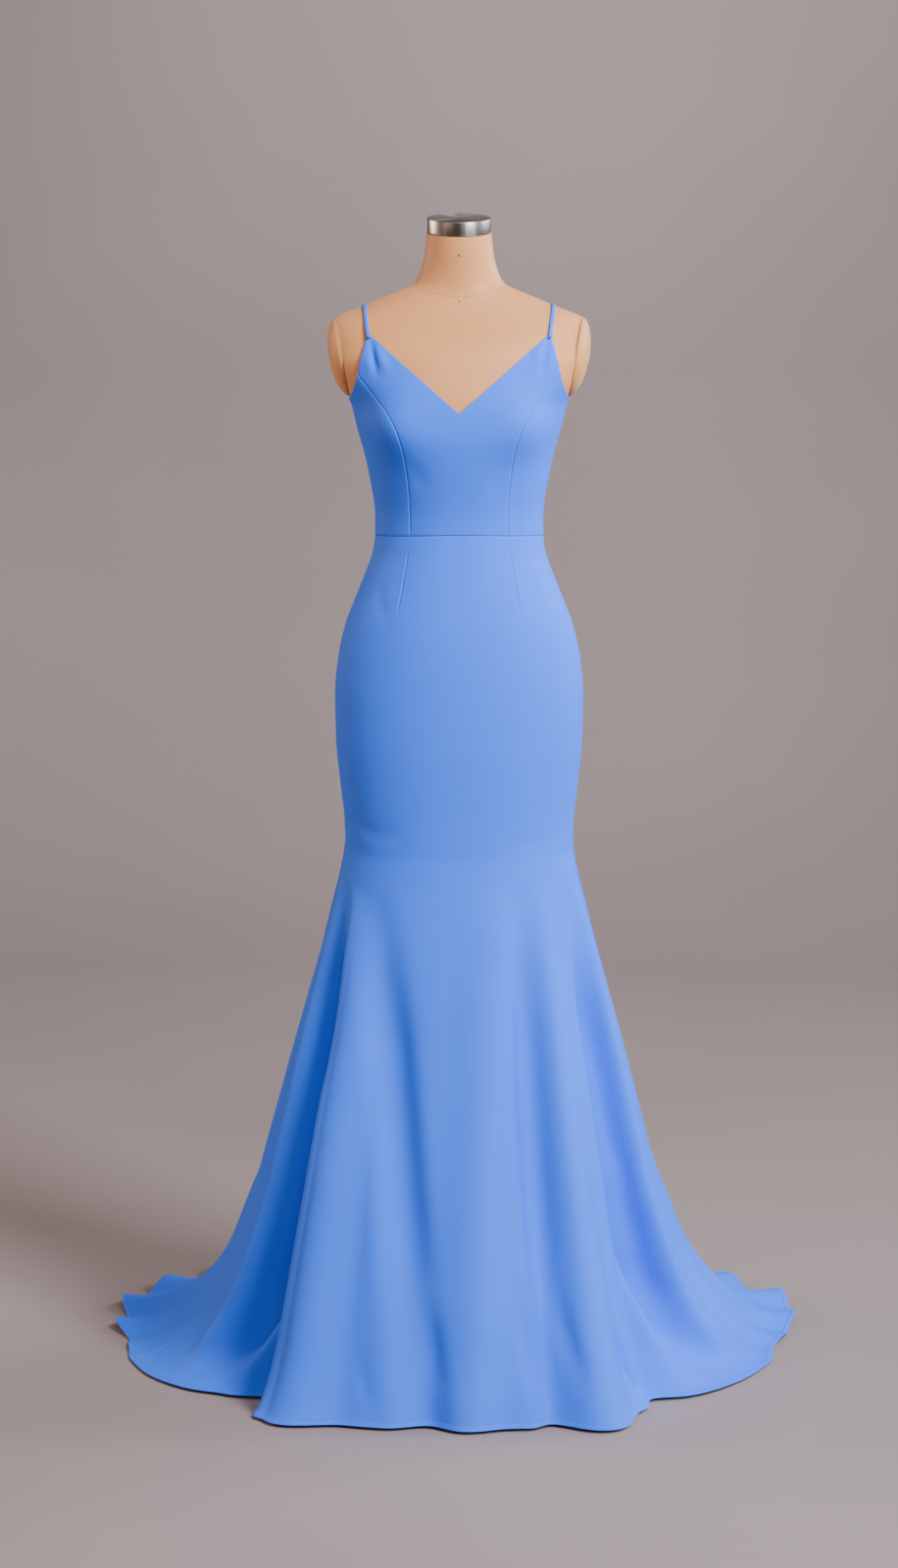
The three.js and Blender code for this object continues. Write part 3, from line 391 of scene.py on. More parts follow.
def cloth(name, points, top_seam=True, hem=False):
    """A closed wall of cloth from the grid of its outside."""
    rows, columns = points.shape[:2]
    across, down = lengths_along(points, 1), lengths_along(points, 0)
    to_bottom = down[-1:] - down
    from_seam = np.minimum(across, across[:, -1:] - across)
    if top_seam:
        from_seam = np.minimum(from_seam, down)
    if not hem:
        from_seam = np.minimum(from_seam, to_bottom)
    normal = normals_of(points)
    turned_in = 0.0007 * np.exp(-(from_seam / 0.0011) ** 2)
    if hem:
        turned_in = turned_in - 0.0004 * smooth(to_bottom, HEM_LINE + 0.0006, HEM_LINE - 0.0006)
        turned_in = turned_in + 0.0005 * np.exp(-((to_bottom - HEM_LINE) / 0.0007) ** 2)
    outer = points - normal * turned_in[..., None]
    outer[..., 2] = np.maximum(outer[..., 2], 0.0006)
    inner = outer - normals_of(outer) * WALL
    inner[..., 2] = np.maximum(inner[..., 2], 0.0001)

    loop = ([(r, 0) for r in range(rows - 1)] + [(rows - 1, c) for c in range(columns - 1)]
            + [(r, columns - 1) for r in range(rows - 1, 0, -1)]
            + [(0, c) for c in range(columns - 1, 0, -1)])
    loop = np.array([r * columns + c for r, c in loop])
    flat_outer, flat_inner = outer.reshape(-1, 3), inner.reshape(-1, 3)
    inside = np.clip(loop // columns, 1, rows - 2) * columns + np.clip(loop % columns, 1, columns - 2)
    outward = flat_outer[loop] - flat_outer[inside]
    outward /= np.maximum(np.linalg.norm(outward, axis=1, keepdims=True), 1e-9)
    edge = (flat_outer[loop] + flat_inner[loop]) / 2 + outward * (0 if top_seam else 0.3) * WALL
    edge[:, 2] = np.maximum(edge[:, 2], 0.0003)

    size = rows * columns
    corner = (np.arange(rows - 1)[:, None] * columns + np.arange(columns - 1)).ravel()
    quads = np.stack([corner, corner + columns, corner + columns + 1, corner + 1], axis=1)
    after = np.roll(np.arange(len(loop)), -1)
    middle = 2 * size + np.arange(len(loop))
    rims = [np.stack([loop[after], loop, middle, middle[after]], axis=1),
            np.stack([middle[after], middle, loop + size, loop[after] + size], axis=1)]
    faces = np.concatenate([quads, quads[:, ::-1] + size, *rims])

    mesh = bpy.data.meshes.new(name)
    mesh.from_pydata(np.concatenate([flat_outer, flat_inner, edge]), [], faces.tolist())
    mesh.polygons.foreach_set("use_smooth", np.ones(len(faces), bool))
    centre = across - across[:, -1:] / 2
    flat = np.stack([centre, -down.mean(axis=1, keepdims=True) + 0 * across], axis=-1)
    flat = flat.reshape(-1, 2)
    flat = np.concatenate([flat, flat, flat[loop]])
    corners = np.zeros(len(mesh.loops), int)
    mesh.loops.foreach_get("vertex_index", corners)
    mesh.uv_layers.new(name="UVMap").data.foreach_set("uv", flat[corners].ravel().astype(np.float32))
    for label, value in (("from_seam", from_seam), ("from_hem", to_bottom if hem else to_bottom * 0 + 1)):
        value = value.ravel()
        value = np.concatenate([value, value, value[loop]]).astype(np.float32)
        mesh.attributes.new(label, "FLOAT", "POINT").data.foreach_set("value", value)
    piece = bpy.data.objects.new(name, mesh)
    bpy.context.scene.collection.objects.link(piece)
    print(f"{name}: {2 * len(faces)} triangles")
    return piece


# %% [markdown]
# ## The skirt
#
# The skirt has one front panel, shaped by two long darts below the waist, and two back panels that
# meet at the zip. Drag lines run where the cloth is pulled: down from the darts, across the thighs,
# and near the floor, where the folds bend outwards as they land.

# %% Rows, columns and small helpers for the skirt
per_section = 7
rows_v = np.linspace(0, 1, (len(SKIRT) - 1) * per_section + 1)
first, last = rows_v[1], 1 - rows_v[-2]
top_rows = np.array([0.05, 0.12, 0.22, 0.38, 0.6]) * first
hem_rows = 1 - np.array([0.06, 0.2, 0.45, 0.7, 1.2, 1.5, 1.75]) * last
rows_v = np.unique(np.concatenate([rows_v, top_rows, hem_rows]))


def on_skirt(hem, z):
    """A place on the skirt by its hem angle and height, for drawing lines on it."""
    v = np.linspace(0, 1, 2001)
    column = skirt_point(np.full(v.shape, float(hem)), v, -180, 180, half_seam, half_seam)
    return column[np.argmin(np.abs(column[:, 2] - z))]


def skirt_line(path, height, width, fade=0.35):
    fine = np.linspace(0, len(path) - 1, 5 * (len(path) - 1) + 1)
    hem = np.interp(fine, range(len(path)), [p[0] for p in path])
    z = np.interp(fine, range(len(path)), [p[1] for p in path])
    return [on_skirt(a, h) for a, h in zip(hem, z)], height, width, fade


# %% Front panel with its darts and drag lines
DART_TOP, DART_TIP = (0.069, 1.164), (0.0845, 1.0785)


def dart(x_top, z_top, x_tip, z_tip, at):
    """A stitched dart: a fine groove with a soft ridge beside it."""
    share = np.linspace(0, 1, 9)
    path = [at(lerp(x_top, x_tip, s), lerp(z_top, z_tip, s)) for s in share]
    beside = [p + np.array([math.copysign(0.0022, x_top), 0, 0]) for p in path]
    return [(path, -0.0009, 0.0011, 0.12), (beside, 0.0004, 0.0016, 0.3)]


def skirt_across(x, z):
    """The place on the skirt's front that lies x from the centre line at a height."""
    angles = np.linspace(0, 80, 801)
    v = np.full(angles.shape, float(np.interp(-z, -SKIRT[:, 0], skirt_rows)))
    ring = skirt_point(angles, v, -90, 90, half_seam, half_seam)
    place = ring[np.argmin(np.abs(ring[:, 0] - abs(x)))].copy()
    place[0] = math.copysign(place[0], x)
    return place


front_lines = []
for side in (-1, 1):
    front_lines += dart(side * DART_TOP[0], DART_TOP[1], side * DART_TIP[0], DART_TIP[1], skirt_across)
front_lines += [
    skirt_line([(-62, 1.13), (-55, 1.09), (-46, 1.06)], -0.0010, 0.010),
    skirt_line([(60, 1.12), (54, 1.085), (47, 1.06)], -0.0008, 0.010),
    skirt_line([(-70, 0.80), (-45, 0.775), (-20, 0.77)], -0.0012, 0.012),
    skirt_line([(68, 0.79), (42, 0.765), (16, 0.765)], -0.0010, 0.012),
    skirt_line([(-33, 0.64), (-27, 0.55), (-22.5, 0.46), (-19, 0.37), (-15.5, 0.28), (-12.5, 0.2),
                (-10, 0.12)], -0.0090, 0.030, 0.3),
    skirt_line([(26.5, 0.64), (25.5, 0.55), (24.7, 0.46), (24.2, 0.37), (23.7, 0.28), (23.3, 0.2),
                (24, 0.12)], -0.0085, 0.022, 0.3),
    skirt_line([(57, 0.63), (58, 0.54), (59.5, 0.44), (60.5, 0.35), (62.5, 0.255), (67, 0.157),
                (72.5, 0.08), (77, 0.045)], -0.0230, 0.025, 0.25),
    skirt_line([(-51, 0.62), (-50.5, 0.54), (-50.5, 0.45), (-52, 0.36), (-55.5, 0.255), (-61, 0.157),
                (-65, 0.08)], -0.0150, 0.024, 0.3),
    skirt_line([(-9, 0.19), (-8, 0.138), (-6, 0.077), (-1.9, 0.035)], -0.0040, 0.017, 0.5),
    skirt_line([(16, 0.20), (16.9, 0.133), (18.1, 0.068), (21.6, 0.029)], -0.0075, 0.012, 0.45),
    skirt_line([(26, 0.20), (26, 0.135), (27.6, 0.073), (28.5, 0.032)], -0.0060, 0.011, 0.45),
    skirt_line([(41, 0.12), (45, 0.06), (50, 0.026), (56, 0.014)], -0.0110, 0.013, 0.4),
    skirt_line([(-25, 0.11), (-24, 0.07), (-21, 0.02)], -0.0020, 0.010, 0.45),
]

front_columns = crowded(0.54, inner=150, extra=np.concatenate(
    [(90 + side * np.arange(35, 44, 0.4)) / 180 for side in (-1, 1)]))
hem_angle, v = np.meshgrid(lerp(-90, 90, front_columns), rows_v)
front_points = skirt_point(hem_angle, v, -90, 90, half_seam, half_seam)
skirt_front_piece = panel("gown_skirt_front", front_points, front_lines, hem=True)

# %% Back panels
back_pieces = []
for name, start, end, start_gap, end_gap in (
        ("left", 90, 180, half_seam, zip_gap), ("right", -180, -90, zip_gap, half_seam)):
    side = 1 if name == "left" else -1
    columns = crowded(0.27, inner=100)
    hem_angle, v = np.meshgrid(lerp(start, end, columns), rows_v)
    points = skirt_point(hem_angle, v, start, end, start_gap, end_gap)
    lines = [
        skirt_line([(side * 158, 1.165), (side * 155, 1.12), (side * 152, 1.07)], -0.0009, 0.0022, 0.12),
        skirt_line([(side * 172, 0.86), (side * 150, 0.835), (side * 128, 0.85)], -0.0014, 0.013),
        skirt_line([(side * 168, 0.80), (side * 140, 0.775), (side * 112, 0.79)], -0.0014, 0.012),
        skirt_line([(side * 132, 0.45), (side * 134, 0.22), (side * 137, 0.06)], -0.0050, 0.018),
        skirt_line([(side * 108, 0.34), (side * 112, 0.14), (side * 118, 0.03)], 0.0040, 0.016),
        skirt_line([(side * 153, 0.30), (side * 156, 0.10), (side * 158, 0.02)], -0.0050, 0.020),
    ]
    back_pieces.append(panel(f"gown_skirt_back_{name}", points, lines, hem=True))

# %% [markdown]
# ## The bodice
#
# The bodice is cut in princess lines: a centre front with the V neck, two side fronts whose seams
# curve over the bust into the armholes, and two backs that end straight across below the shoulder
# blades. Its seams are shown as on the real one, as a fine dark line between two edges that turn in.

# %% Seam curves of the bodice
seam_x = curve_through(PRINCESS[:, 0], PRINCESS[:, 1])
princess_x = PRINCESS[0, 1]
seam_bottom = float(waist_at(angle_across(princess_x, PRINCESS[0, 0]))) + SEAM / 2
seam_angle = float(angle_across(princess_x, seam_bottom))
tip_inner = STRAP_X - STRAP_WIDTH / 2
tip_share = tip_inner / PRINCESS[-1, 1]


def side_height(v):
    return lerp(UNDERARM, WAIST + SEAM / 2, v)


def bodice_front(u, v):
    across = 2 * u - 1
    edge = STRAP_Z - v * (STRAP_Z - seam_bottom)
    x = np.abs(across) * (seam_x(edge) - SEAM / 2)
    waist = waist_at(angle_across(np.abs(across) * princess_x, seam_bottom)) + SEAM / 2
    top = lerp(NECK_POINT, STRAP_Z, np.minimum(np.abs(across) / tip_share, 1))
    z = lerp(top, waist, v)
    return bodice_point(np.sign(across) * angle_across(x, z), z)


def bodice_side(u, v):
    edge = lerp(SEAM_TOP, seam_bottom, v)
    start = angle_across(seam_x(edge) + SEAM / 2, edge)
    side_z = side_height(v)
    reach = form_reach(math.pi / 2, side_z) + EASE
    angle = lerp(start, math.pi / 2 - SEAM / 2 / reach, u)
    scoop = SCOOP * np.sin(math.pi * u ** 0.55) * (1 - v) ** 2
    waist = waist_at(lerp(seam_angle, math.pi / 2, u)) + SEAM / 2
    bow = waist - lerp(seam_bottom, side_height(1), u)
    return bodice_point(angle, lerp(edge, side_z, u) - scoop + bow * v)


def bodice_back(u, v):
    side_z = side_height(v)
    reach = form_reach(math.pi / 2, side_z) + EASE
    end = math.pi - (ZIP_HALF + SEAM) / (form_reach(math.pi, side_z) + EASE)
    angle = lerp(math.pi / 2 + SEAM / 2 / reach, end, u)
    return bodice_point(angle, lerp(UNDERARM, waist_at(angle) + SEAM / 2, v))


def mirrored(points):
    """The other side's grid: turned over the centre plane, its columns in their new order."""
    return points[:, ::-1] * np.array([-1, 1, 1])


print("princess seam meets the waist at", round(princess_x, 4), round(seam_bottom, 4))

# %% Centre front, with the pull of the straps
bodice_pieces = []
across_u = np.unique(np.concatenate([crowded(0.16, inner=120), [0.5]]))
down_v = crowded(0.24, inner=100)
u, v = np.meshgrid(across_u, down_v)


def on_bodice(x, z):
    place = bodice_point(angle_across(abs(x), z), z)
    return place * np.array([math.copysign(1, x), 1, 1])


def bodice_line(path, height, width, fade=0.4):
    fine = np.linspace(0, len(path) - 1, 4 * (len(path) - 1) + 1)
    x = np.interp(fine, range(len(path)), [p[0] for p in path])
    z = np.interp(fine, range(len(path)), [p[1] for p in path])
    return [on_bodice(a, h) for a, h in zip(x, z)], height, width, fade


centre_lines = []
for side in (-1, 1):
    centre_lines += [
        bodice_line([(side * .1215, 1.462), (side * .116, 1.43), (side * .109, 1.395)], -.0030, .0045, .5),
        bodice_line([(side * .117, 1.455), (side * .106, 1.428), (side * .092, 1.40)], .0022, .007, .5),
        bodice_line([(side * .125, 1.44), (side * .124, 1.42), (side * .122, 1.40)], .0009, .005, .5),
        bodice_line([(side * .070, 1.30), (side * .052, 1.262), (side * .040, 1.235)], -.0008, .012),
    ]
bodice_pieces.append(panel("gown_bodice_front", bodice_front(u, v), centre_lines, top_seam=False))

# %% Side fronts and backs
side_u, back_u = crowded(0.11, inner=48), crowded(0.2, inner=76)
for name, turn in (("left", lambda p: p), ("right", mirrored)):
    u, v = np.meshgrid(side_u, down_v)
    side_grid = turn(bodice_side(u, v))
    bodice_pieces.append(panel(f"gown_bodice_side_{name}", side_grid, [], top_seam=False))
    u, v = np.meshgrid(back_u, down_v)
    back_grid = turn(bodice_back(u, v))
    sign = 1 if name == "left" else -1
    dart_path = [bodice_point(sign * math.radians(a), z) for a, z in
                 ((146, 1.183), (147, 1.215), (148.5, 1.25), (150, 1.29))]
    dart_line = [(dart_path, -0.0009, 0.0016, 0.12)]
    bodice_pieces.append(panel(f"gown_bodice_back_{name}", back_grid, dart_line, top_seam=False))

# %% [markdown]
# ## The straps
#
# A thin strap is a strip of the same crepe, sewn into a tube, turned and pressed. It leaves the tip
# of the front, lies on the shoulder and runs down to the back's top edge. It is made as a hollow flat
# tube that follows the form, so its area is the strip's own.

# %% The path over the shoulder
def form_distance(p):
    return np.hypot(p[0], p[1]) - float(form_reach(math.atan2(p[0], -p[1]), p[2]))


def form_normal(p):
    step = 0.0005
    ways = np.eye(3) * step
    slope = np.array([form_distance(p + w) - form_distance(p - w) for w in ways])
    return slope / np.linalg.norm(slope)


def on_form(x, angle, middle_z):
    low, high = 0.0, 0.2
    for _ in range(40):
        middle = (low + high) / 2
        p = np.array([x, -middle * math.cos(angle), middle_z + middle * math.sin(angle)])
        low, high = (middle, high) if form_distance(p) < 0 else (low, middle)
    return np.array([x, -low * math.cos(angle), middle_z + low * math.sin(angle)])


def strap_path(steps=84, middle_z=1.4):
    front = bodice_point(float(angle_across(STRAP_X, STRAP_Z)), STRAP_Z)
    back = bodice_point(math.pi - float(angle_across(STRAP_BACK_X, STRAP_BACK_Z)), STRAP_BACK_Z)
    start = math.atan2(front[2] - middle_z, -front[1])
    end = math.atan2(back[2] - middle_z, -back[1]) + 2 * math.pi
    places = []
    for share in np.linspace(0, 1, steps + 1):
        angle = lerp(start, end, share)
        over = (angle - start) / (math.pi / 2 - start)
        fall = (angle - math.pi / 2) / (end - math.pi / 2)
        if over < 1:
            x = lerp(STRAP_X, STRAP_TOP_X, math.sin(over * math.pi / 2))
        else:
            x = lerp(STRAP_TOP_X, back[0], 1 - math.cos(fall * math.pi / 2))
        surface = on_form(x, angle, middle_z)
        normal = form_normal(surface)
        near_end = max(float(smooth(0.16 - share, 0, 0.16)), float(smooth(share - 0.84, 0, 0.16)))
        lift = lerp(SEAM + STRAP_THICK / 2 + 0.0001, EASE - 0.001, near_end)
        places.append((surface + normal * lift, normal))
    return places


# %% A hollow flat tube along the path
def strap(name, side, sides=20, skin=0.0004):
    path = strap_path()
    last = len(path) - 1
    skins = []
    for inset in (0, skin):
        rings = []
        for i, (place, normal) in enumerate(path):
            along = path[min(i + 1, last)][0] - path[max(i - 1, 0)][0]
            along /= np.linalg.norm(along)
            across = np.cross(normal, along)
            across /= np.linalg.norm(across)
            out = np.cross(along, across)
            turn = 2 * math.pi * (np.arange(sides) + 0.5) / sides
            wide = np.sign(np.cos(turn)) * np.abs(np.cos(turn)) ** 0.75 * (STRAP_WIDTH / 2 - inset)
            thick = np.sin(turn) * (STRAP_THICK / 2 - inset)
            ring = place + wide[:, None] * across + thick[:, None] * out
            if i in (0, last):
                level = (STRAP_Z if i == 0 else STRAP_BACK_Z) - 0.003
                ring = ring + ((level - ring[:, 2]) / along[2])[:, None] * along
            rings.append(ring)
        skins.append(np.array(rings))
    points = np.concatenate([s.reshape(-1, 3) for s in skins]) * np.array([side, 1, 1])
    count = (last + 1) * sides
    faces = []
    for layer in (0, 1):
        for r in range(last):
            for k in range(sides):
                a, b = r * sides + k, r * sides + (k + 1) % sides
                quad = [a, b, b + sides, a + sides]
                faces.append([q + layer * count for q in (quad if layer == 0 else quad[::-1])])
    for r, flip in ((0, False), (last, True)):
        for k in range(sides):
            a, b = r * sides + k, r * sides + (k + 1) % sides
            quad = [b, a, a + count, b + count]
            faces.append(quad[::-1] if flip else quad)
    if side < 0:
        faces = [f[::-1] for f in faces]
    mesh = bpy.data.meshes.new(name)
    mesh.from_pydata(points, [], faces)
    mesh.polygons.foreach_set("use_smooth", np.ones(len(faces), bool))
    length = float(np.linalg.norm(np.diff([p for p, _ in path], axis=0), axis=1).sum())
    around = np.linalg.norm(np.diff(skins[0], axis=1, append=skins[0][:, :1]), axis=-1).sum(1).mean()
    run = lengths_along(skins[0], 0).reshape(-1)
    turn = np.tile(np.arange(sides) / sides * around, last + 1)
    flat = np.tile(np.stack([turn, -run], axis=1), (2, 1))
    corners = np.zeros(len(mesh.loops), int)
    mesh.loops.foreach_get("vertex_index", corners)
    mesh.uv_layers.new(name="UVMap").data.foreach_set("uv", flat[corners].ravel().astype(np.float32))
    for label in ("from_seam", "from_hem"):
        mesh.attributes.new(label, "FLOAT", "POINT").data.foreach_set(
            "value", np.ones(len(points), np.float32))
    piece = bpy.data.objects.new(name, mesh)
    bpy.context.scene.collection.objects.link(piece)
    print(f"{name}: {length:.3f} m long, {around * 1000:.1f} mm around")
    return piece, float(around), length


straps = [strap(f"gown_strap_{name}", side) for name, side in (("left", 1), ("right", -1))]

# %% [markdown]
# ## The dress form
#
# The form is a smooth padded shell with a tan cover. As by hand, a circle is extruded upwards ring
# by ring, and each ring is then brought to the oval of its height, with the neck leaning forward.
# A cut at each shoulder leaves the flat plate that the rounded cap sits on.

# %% Small helpers for working with operators
def only(piece):
    bpy.ops.object.select_all(action="DESELECT")
    piece.select_set(True)
    bpy.context.view_layer.objects.active = piece


def apply_modifiers(piece):
    only(piece)
    for modifier in list(piece.modifiers):
        bpy.ops.object.modifier_apply(modifier=modifier.name)


def settle(piece):
    """Moves the object's place, turn and size into its mesh."""
    only(piece)
    bpy.ops.object.transform_apply(location=True, rotation=True, scale=True)


def added(name):
    piece = bpy.context.object
    piece.name = piece.data.name = name
    return piece


def triangles(piece):
    return sum(len(p.vertices) - 2 for p in piece.data.polygons)


# %% Torso and neck
NECK_TILT, NECK_TOP, NECK_FORWARD = math.radians(8), 1.5955, 0.008
PLATE = {"x": 0.1583, "z": 1.427, "tilt": math.radians(10), "bulge": 0.0205, "high": 0.055, "deep": 0.054}
bottom = float(FORM[0, 0])
rings = np.concatenate([np.linspace(bottom, 1.36, 66), np.linspace(1.37, NECK_TOP, 60)])

bpy.ops.object.select_all(action="DESELECT")
bpy.ops.mesh.primitive_circle_add(vertices=112, radius=0.1, fill_type="NGON", location=(0, 0, bottom))
form = added("form_torso_cover")
settle(form)
bpy.ops.object.mode_set(mode="EDIT")
bpy.ops.mesh.select_all(action="SELECT")
for step in np.diff(rings):
    bpy.ops.mesh.extrude_region_move(TRANSFORM_OT_translate={"value": (0, 0, float(step))})
bpy.ops.mesh.select_all(action="SELECT")
bpy.ops.mesh.normals_make_consistent(inside=False)
bpy.ops.object.mode_set(mode="OBJECT")

co = np.zeros(len(form.data.vertices) * 3)
form.data.vertices.foreach_get("co", co)
co = co.reshape(-1, 3)
angle = np.arctan2(co[:, 0], -co[:, 1])
tucked = 1 - 0.05 * np.exp(-(co[:, 2] - bottom) / 0.004)
shaped = polar(angle, form_reach(angle, co[:, 2]) * tucked, co[:, 2])
lean = smooth(co[:, 2], 1.5, NECK_TOP)
shaped[:, 2] += shaped[:, 1] * math.tan(NECK_TILT) * lean
shaped[:, 1] -= NECK_FORWARD * lean
form.data.vertices.foreach_set("co", shaped.ravel())

only(form)
bpy.ops.object.mode_set(mode="EDIT")
for side in (-1, 1):
    bpy.ops.mesh.select_all(action="SELECT")
    out = Vector((side * math.cos(PLATE["tilt"]), 0, -math.sin(PLATE["tilt"])))
    bpy.ops.mesh.bisect(plane_co=(side * PLATE["x"], 0, PLATE["z"]), plane_no=out,
                        use_fill=True, clear_outer=True)
bpy.ops.object.mode_set(mode="OBJECT")
bpy.ops.object.shade_smooth_by_angle(angle=math.radians(40))
print("torso cover:", triangles(form), "triangles")

# %% [markdown]
# The shoulder caps are flattened domes. Each starts as a sphere, is squeezed and turned to the
# shoulder's slope, and is cut flat where it meets the plate. Its rim gets a small bevel, so that the
# joint reads as the thin dark line that runs round the arm on a real form.

# %% Shoulder caps
caps = []
for name, side in (("left", 1), ("right", -1)):
    bpy.ops.object.select_all(action="DESELECT")
    bpy.ops.mesh.primitive_uv_sphere_add(segments=64, ring_count=32, radius=1)
    cap = added(f"form_cap_{name}")
    cap.scale = (PLATE["bulge"], PLATE["deep"], PLATE["high"])
    cap.rotation_euler = (0, side * PLATE["tilt"], 0)
    cap.location = (side * PLATE["x"], 0, PLATE["z"])
    settle(cap)
    out = Vector((side * math.cos(PLATE["tilt"]), 0, -math.sin(PLATE["tilt"])))
    seat = Vector((side * PLATE["x"], 0, PLATE["z"])) + out * SEAM
    bpy.ops.object.mode_set(mode="EDIT")
    bpy.ops.mesh.select_all(action="SELECT")
    bpy.ops.mesh.bisect(plane_co=seat, plane_no=out, use_fill=True, clear_inner=True)
    bpy.ops.mesh.bevel(offset=0.0012, segments=3)
    bpy.ops.object.mode_set(mode="OBJECT")
    bpy.ops.object.shade_smooth_by_angle(angle=math.radians(50))
    caps.append(cap)
    print(cap.name, triangles(cap), "triangles")

# %% [markdown]
# The form's cover is sewn too. A seam closes it round the base of the neck, another runs down the
# centre back, one goes round each shoulder cap, and two dark pin heads mark the pit of the neck and
# the throat. The seams are fine raised threads, made as curves that follow the cover and turned into
# meshes.

# %% Seams and pins of the cover
def cover_point(angle, z, lift=0.0):
    reach = float(form_reach(angle, z)) + lift
    p = polar(angle, reach, z)
    share = float(smooth(z, 1.5, NECK_TOP))
    return Vector((p[0], p[1] - NECK_FORWARD * share, p[2] + p[1] * math.tan(NECK_TILT) * share))


def thread(name, path, radius, closed=False):
    curve = bpy.data.curves.new(name, "CURVE")
    curve.dimensions = "3D"
    curve.bevel_depth, curve.bevel_resolution = radius, 2
    spline = curve.splines.new("POLY")
    spline.points.add(len(path) - 1)
    for point, place in zip(spline.points, path):
        point.co = (*place, 1)
    spline.use_cyclic_u = closed
    curve.use_fill_caps = not closed
    line = bpy.data.objects.new(name, curve)
    bpy.context.scene.collection.objects.link(line)
    only(line)
    bpy.ops.object.convert(target="MESH")
    return line


def neck_base(angle):
    return 1.514 + 0.012 * abs(math.sin(angle)) ** 2 - 0.005 * max(0, math.cos(angle))


around = np.linspace(-math.pi, math.pi, 96, endpoint=False)
cover_seams = [
    thread("form_seam_neck", [cover_point(a, neck_base(a)) for a in around], 0.0003, closed=True),
    thread("form_seam_back", [cover_point(math.pi, z) for z in np.linspace(1.36, 1.59, 60)], 0.0003),
]


def cap_rim(side, angle):
    """A place on the seam between the torso and a shoulder cap."""
    high, tilt = PLATE["high"] * math.sin(angle), PLATE["tilt"]
    return Vector((side * (PLATE["x"] + high * math.sin(tilt)), PLATE["deep"] * math.cos(angle),
                   PLATE["z"] + high * math.cos(tilt)))


cap_seams = [thread(f"form_seam_cap_{name}", [cap_rim(side, a) for a in around], 0.0005, closed=True)
             for name, side in (("left", 1), ("right", -1))]

pins = []
for name, z in (("pit", 1.503), ("throat", 1.570)):
    bpy.ops.object.select_all(action="DESELECT")
    bpy.ops.mesh.primitive_uv_sphere_add(segments=20, ring_count=10, radius=0.0013,
                                         location=cover_point(0, z, 0.0002))
    pin = added(f"form_pin_{name}")
    pin.scale = (1, 0.45, 1)
    settle(pin)
    bpy.ops.object.shade_smooth()
    pins.append(pin)
print("cover seams:", len(cover_seams) + len(cap_seams), " pins:", len(pins))

# %% [markdown]
# ## The neck cap
#
# A turned disc of brushed steel closes the neck. It starts as a cylinder, its edges are bevelled and
# its top is inset twice, for the shallow step that catches the light.

# %% The steel cap
CAP_RADIUS, CAP_HEIGHT = 0.044, 0.020
axis = Vector((0, -math.sin(NECK_TILT), math.cos(NECK_TILT)))
seat = Vector((0, -NECK_FORWARD, NECK_TOP + 0.00005)) + axis * SEAM
bpy.ops.object.select_all(action="DESELECT")
bpy.ops.mesh.primitive_cylinder_add(vertices=128, radius=CAP_RADIUS, depth=CAP_HEIGHT)
neck_cap = added("form_cap_neck")
bpy.ops.object.mode_set(mode="EDIT")
bpy.ops.mesh.select_all(action="SELECT")
bpy.ops.mesh.bevel(offset=0.0012, segments=4, affect="EDGES", offset_type="OFFSET")
bpy.ops.object.mode_set(mode="OBJECT")
top_face = max(neck_cap.data.polygons, key=lambda p: p.center.z)
for polygon in neck_cap.data.polygons:
    polygon.select = polygon == top_face
bpy.ops.object.mode_set(mode="EDIT")
bpy.ops.mesh.select_mode(type="FACE")
bpy.ops.mesh.inset(thickness=0.0016)
bpy.ops.mesh.inset(thickness=0.0005, depth=-0.0004)
bpy.ops.object.mode_set(mode="OBJECT")
neck_cap.rotation_euler = (NECK_TILT, 0, 0)
neck_cap.location = seat + axis * CAP_HEIGHT / 2
settle(neck_cap)
bpy.ops.object.shade_smooth_by_angle(angle=math.radians(30))
print("neck cap:", triangles(neck_cap), "triangles")

# %% [markdown]
# ## The zip
#
# The back closes with a zip from the top edge to below the waist. Between the panels lies a narrow
# tape with a row of fine coil teeth. One tooth is modelled and copied down the tape. The slider sits
# just under the top edge, and a drop-shaped tab hangs from its pin.

# %% Tape and teeth
def zip_out(z):
    """How far behind the stand's axis the zip's face lies at a height."""
    if z > WAIST:
        return float(form_reach(math.pi, z)) + EASE
    return float(np.interp(-z, -SKIRT[:, 1], SKIRT[:, 4]))


tape_z = np.linspace(ZIP_BOTTOM, ZIP_TOP, 120)
tape_half, tape_thick = ZIP_HALF, 0.0007
corners = [(-1, 0), (1, 0), (1, 1), (-1, 1)]
points = [(side * tape_half, zip_out(z) - 0.0019 + deep * tape_thick, z)
          for z in tape_z for side, deep in corners]
faces = [[r * 4 + k, r * 4 + (k + 1) % 4, r * 4 + 4 + (k + 1) % 4, r * 4 + 4 + k]
         for r in range(len(tape_z) - 1) for k in range(4)]
faces += [[3, 2, 1, 0], [len(points) - 4 + k for k in range(4)]]
tooth_pitch = 0.0011
bpy.ops.object.select_all(action="DESELECT")
bpy.ops.mesh.primitive_cube_add(size=1, scale=(0.0009, 0.0008, 0.0006))
tooth = added("tooth")
settle(tooth)
bpy.ops.object.mode_set(mode="EDIT")
bpy.ops.mesh.select_all(action="SELECT")
bpy.ops.mesh.bevel(offset=0.00018, segments=1)
bpy.ops.object.mode_set(mode="OBJECT")
tooth_points = np.array([v.co for v in tooth.data.vertices])
tooth_faces = [list(p.vertices) for p in tooth.data.polygons]
bpy.data.objects.remove(tooth)
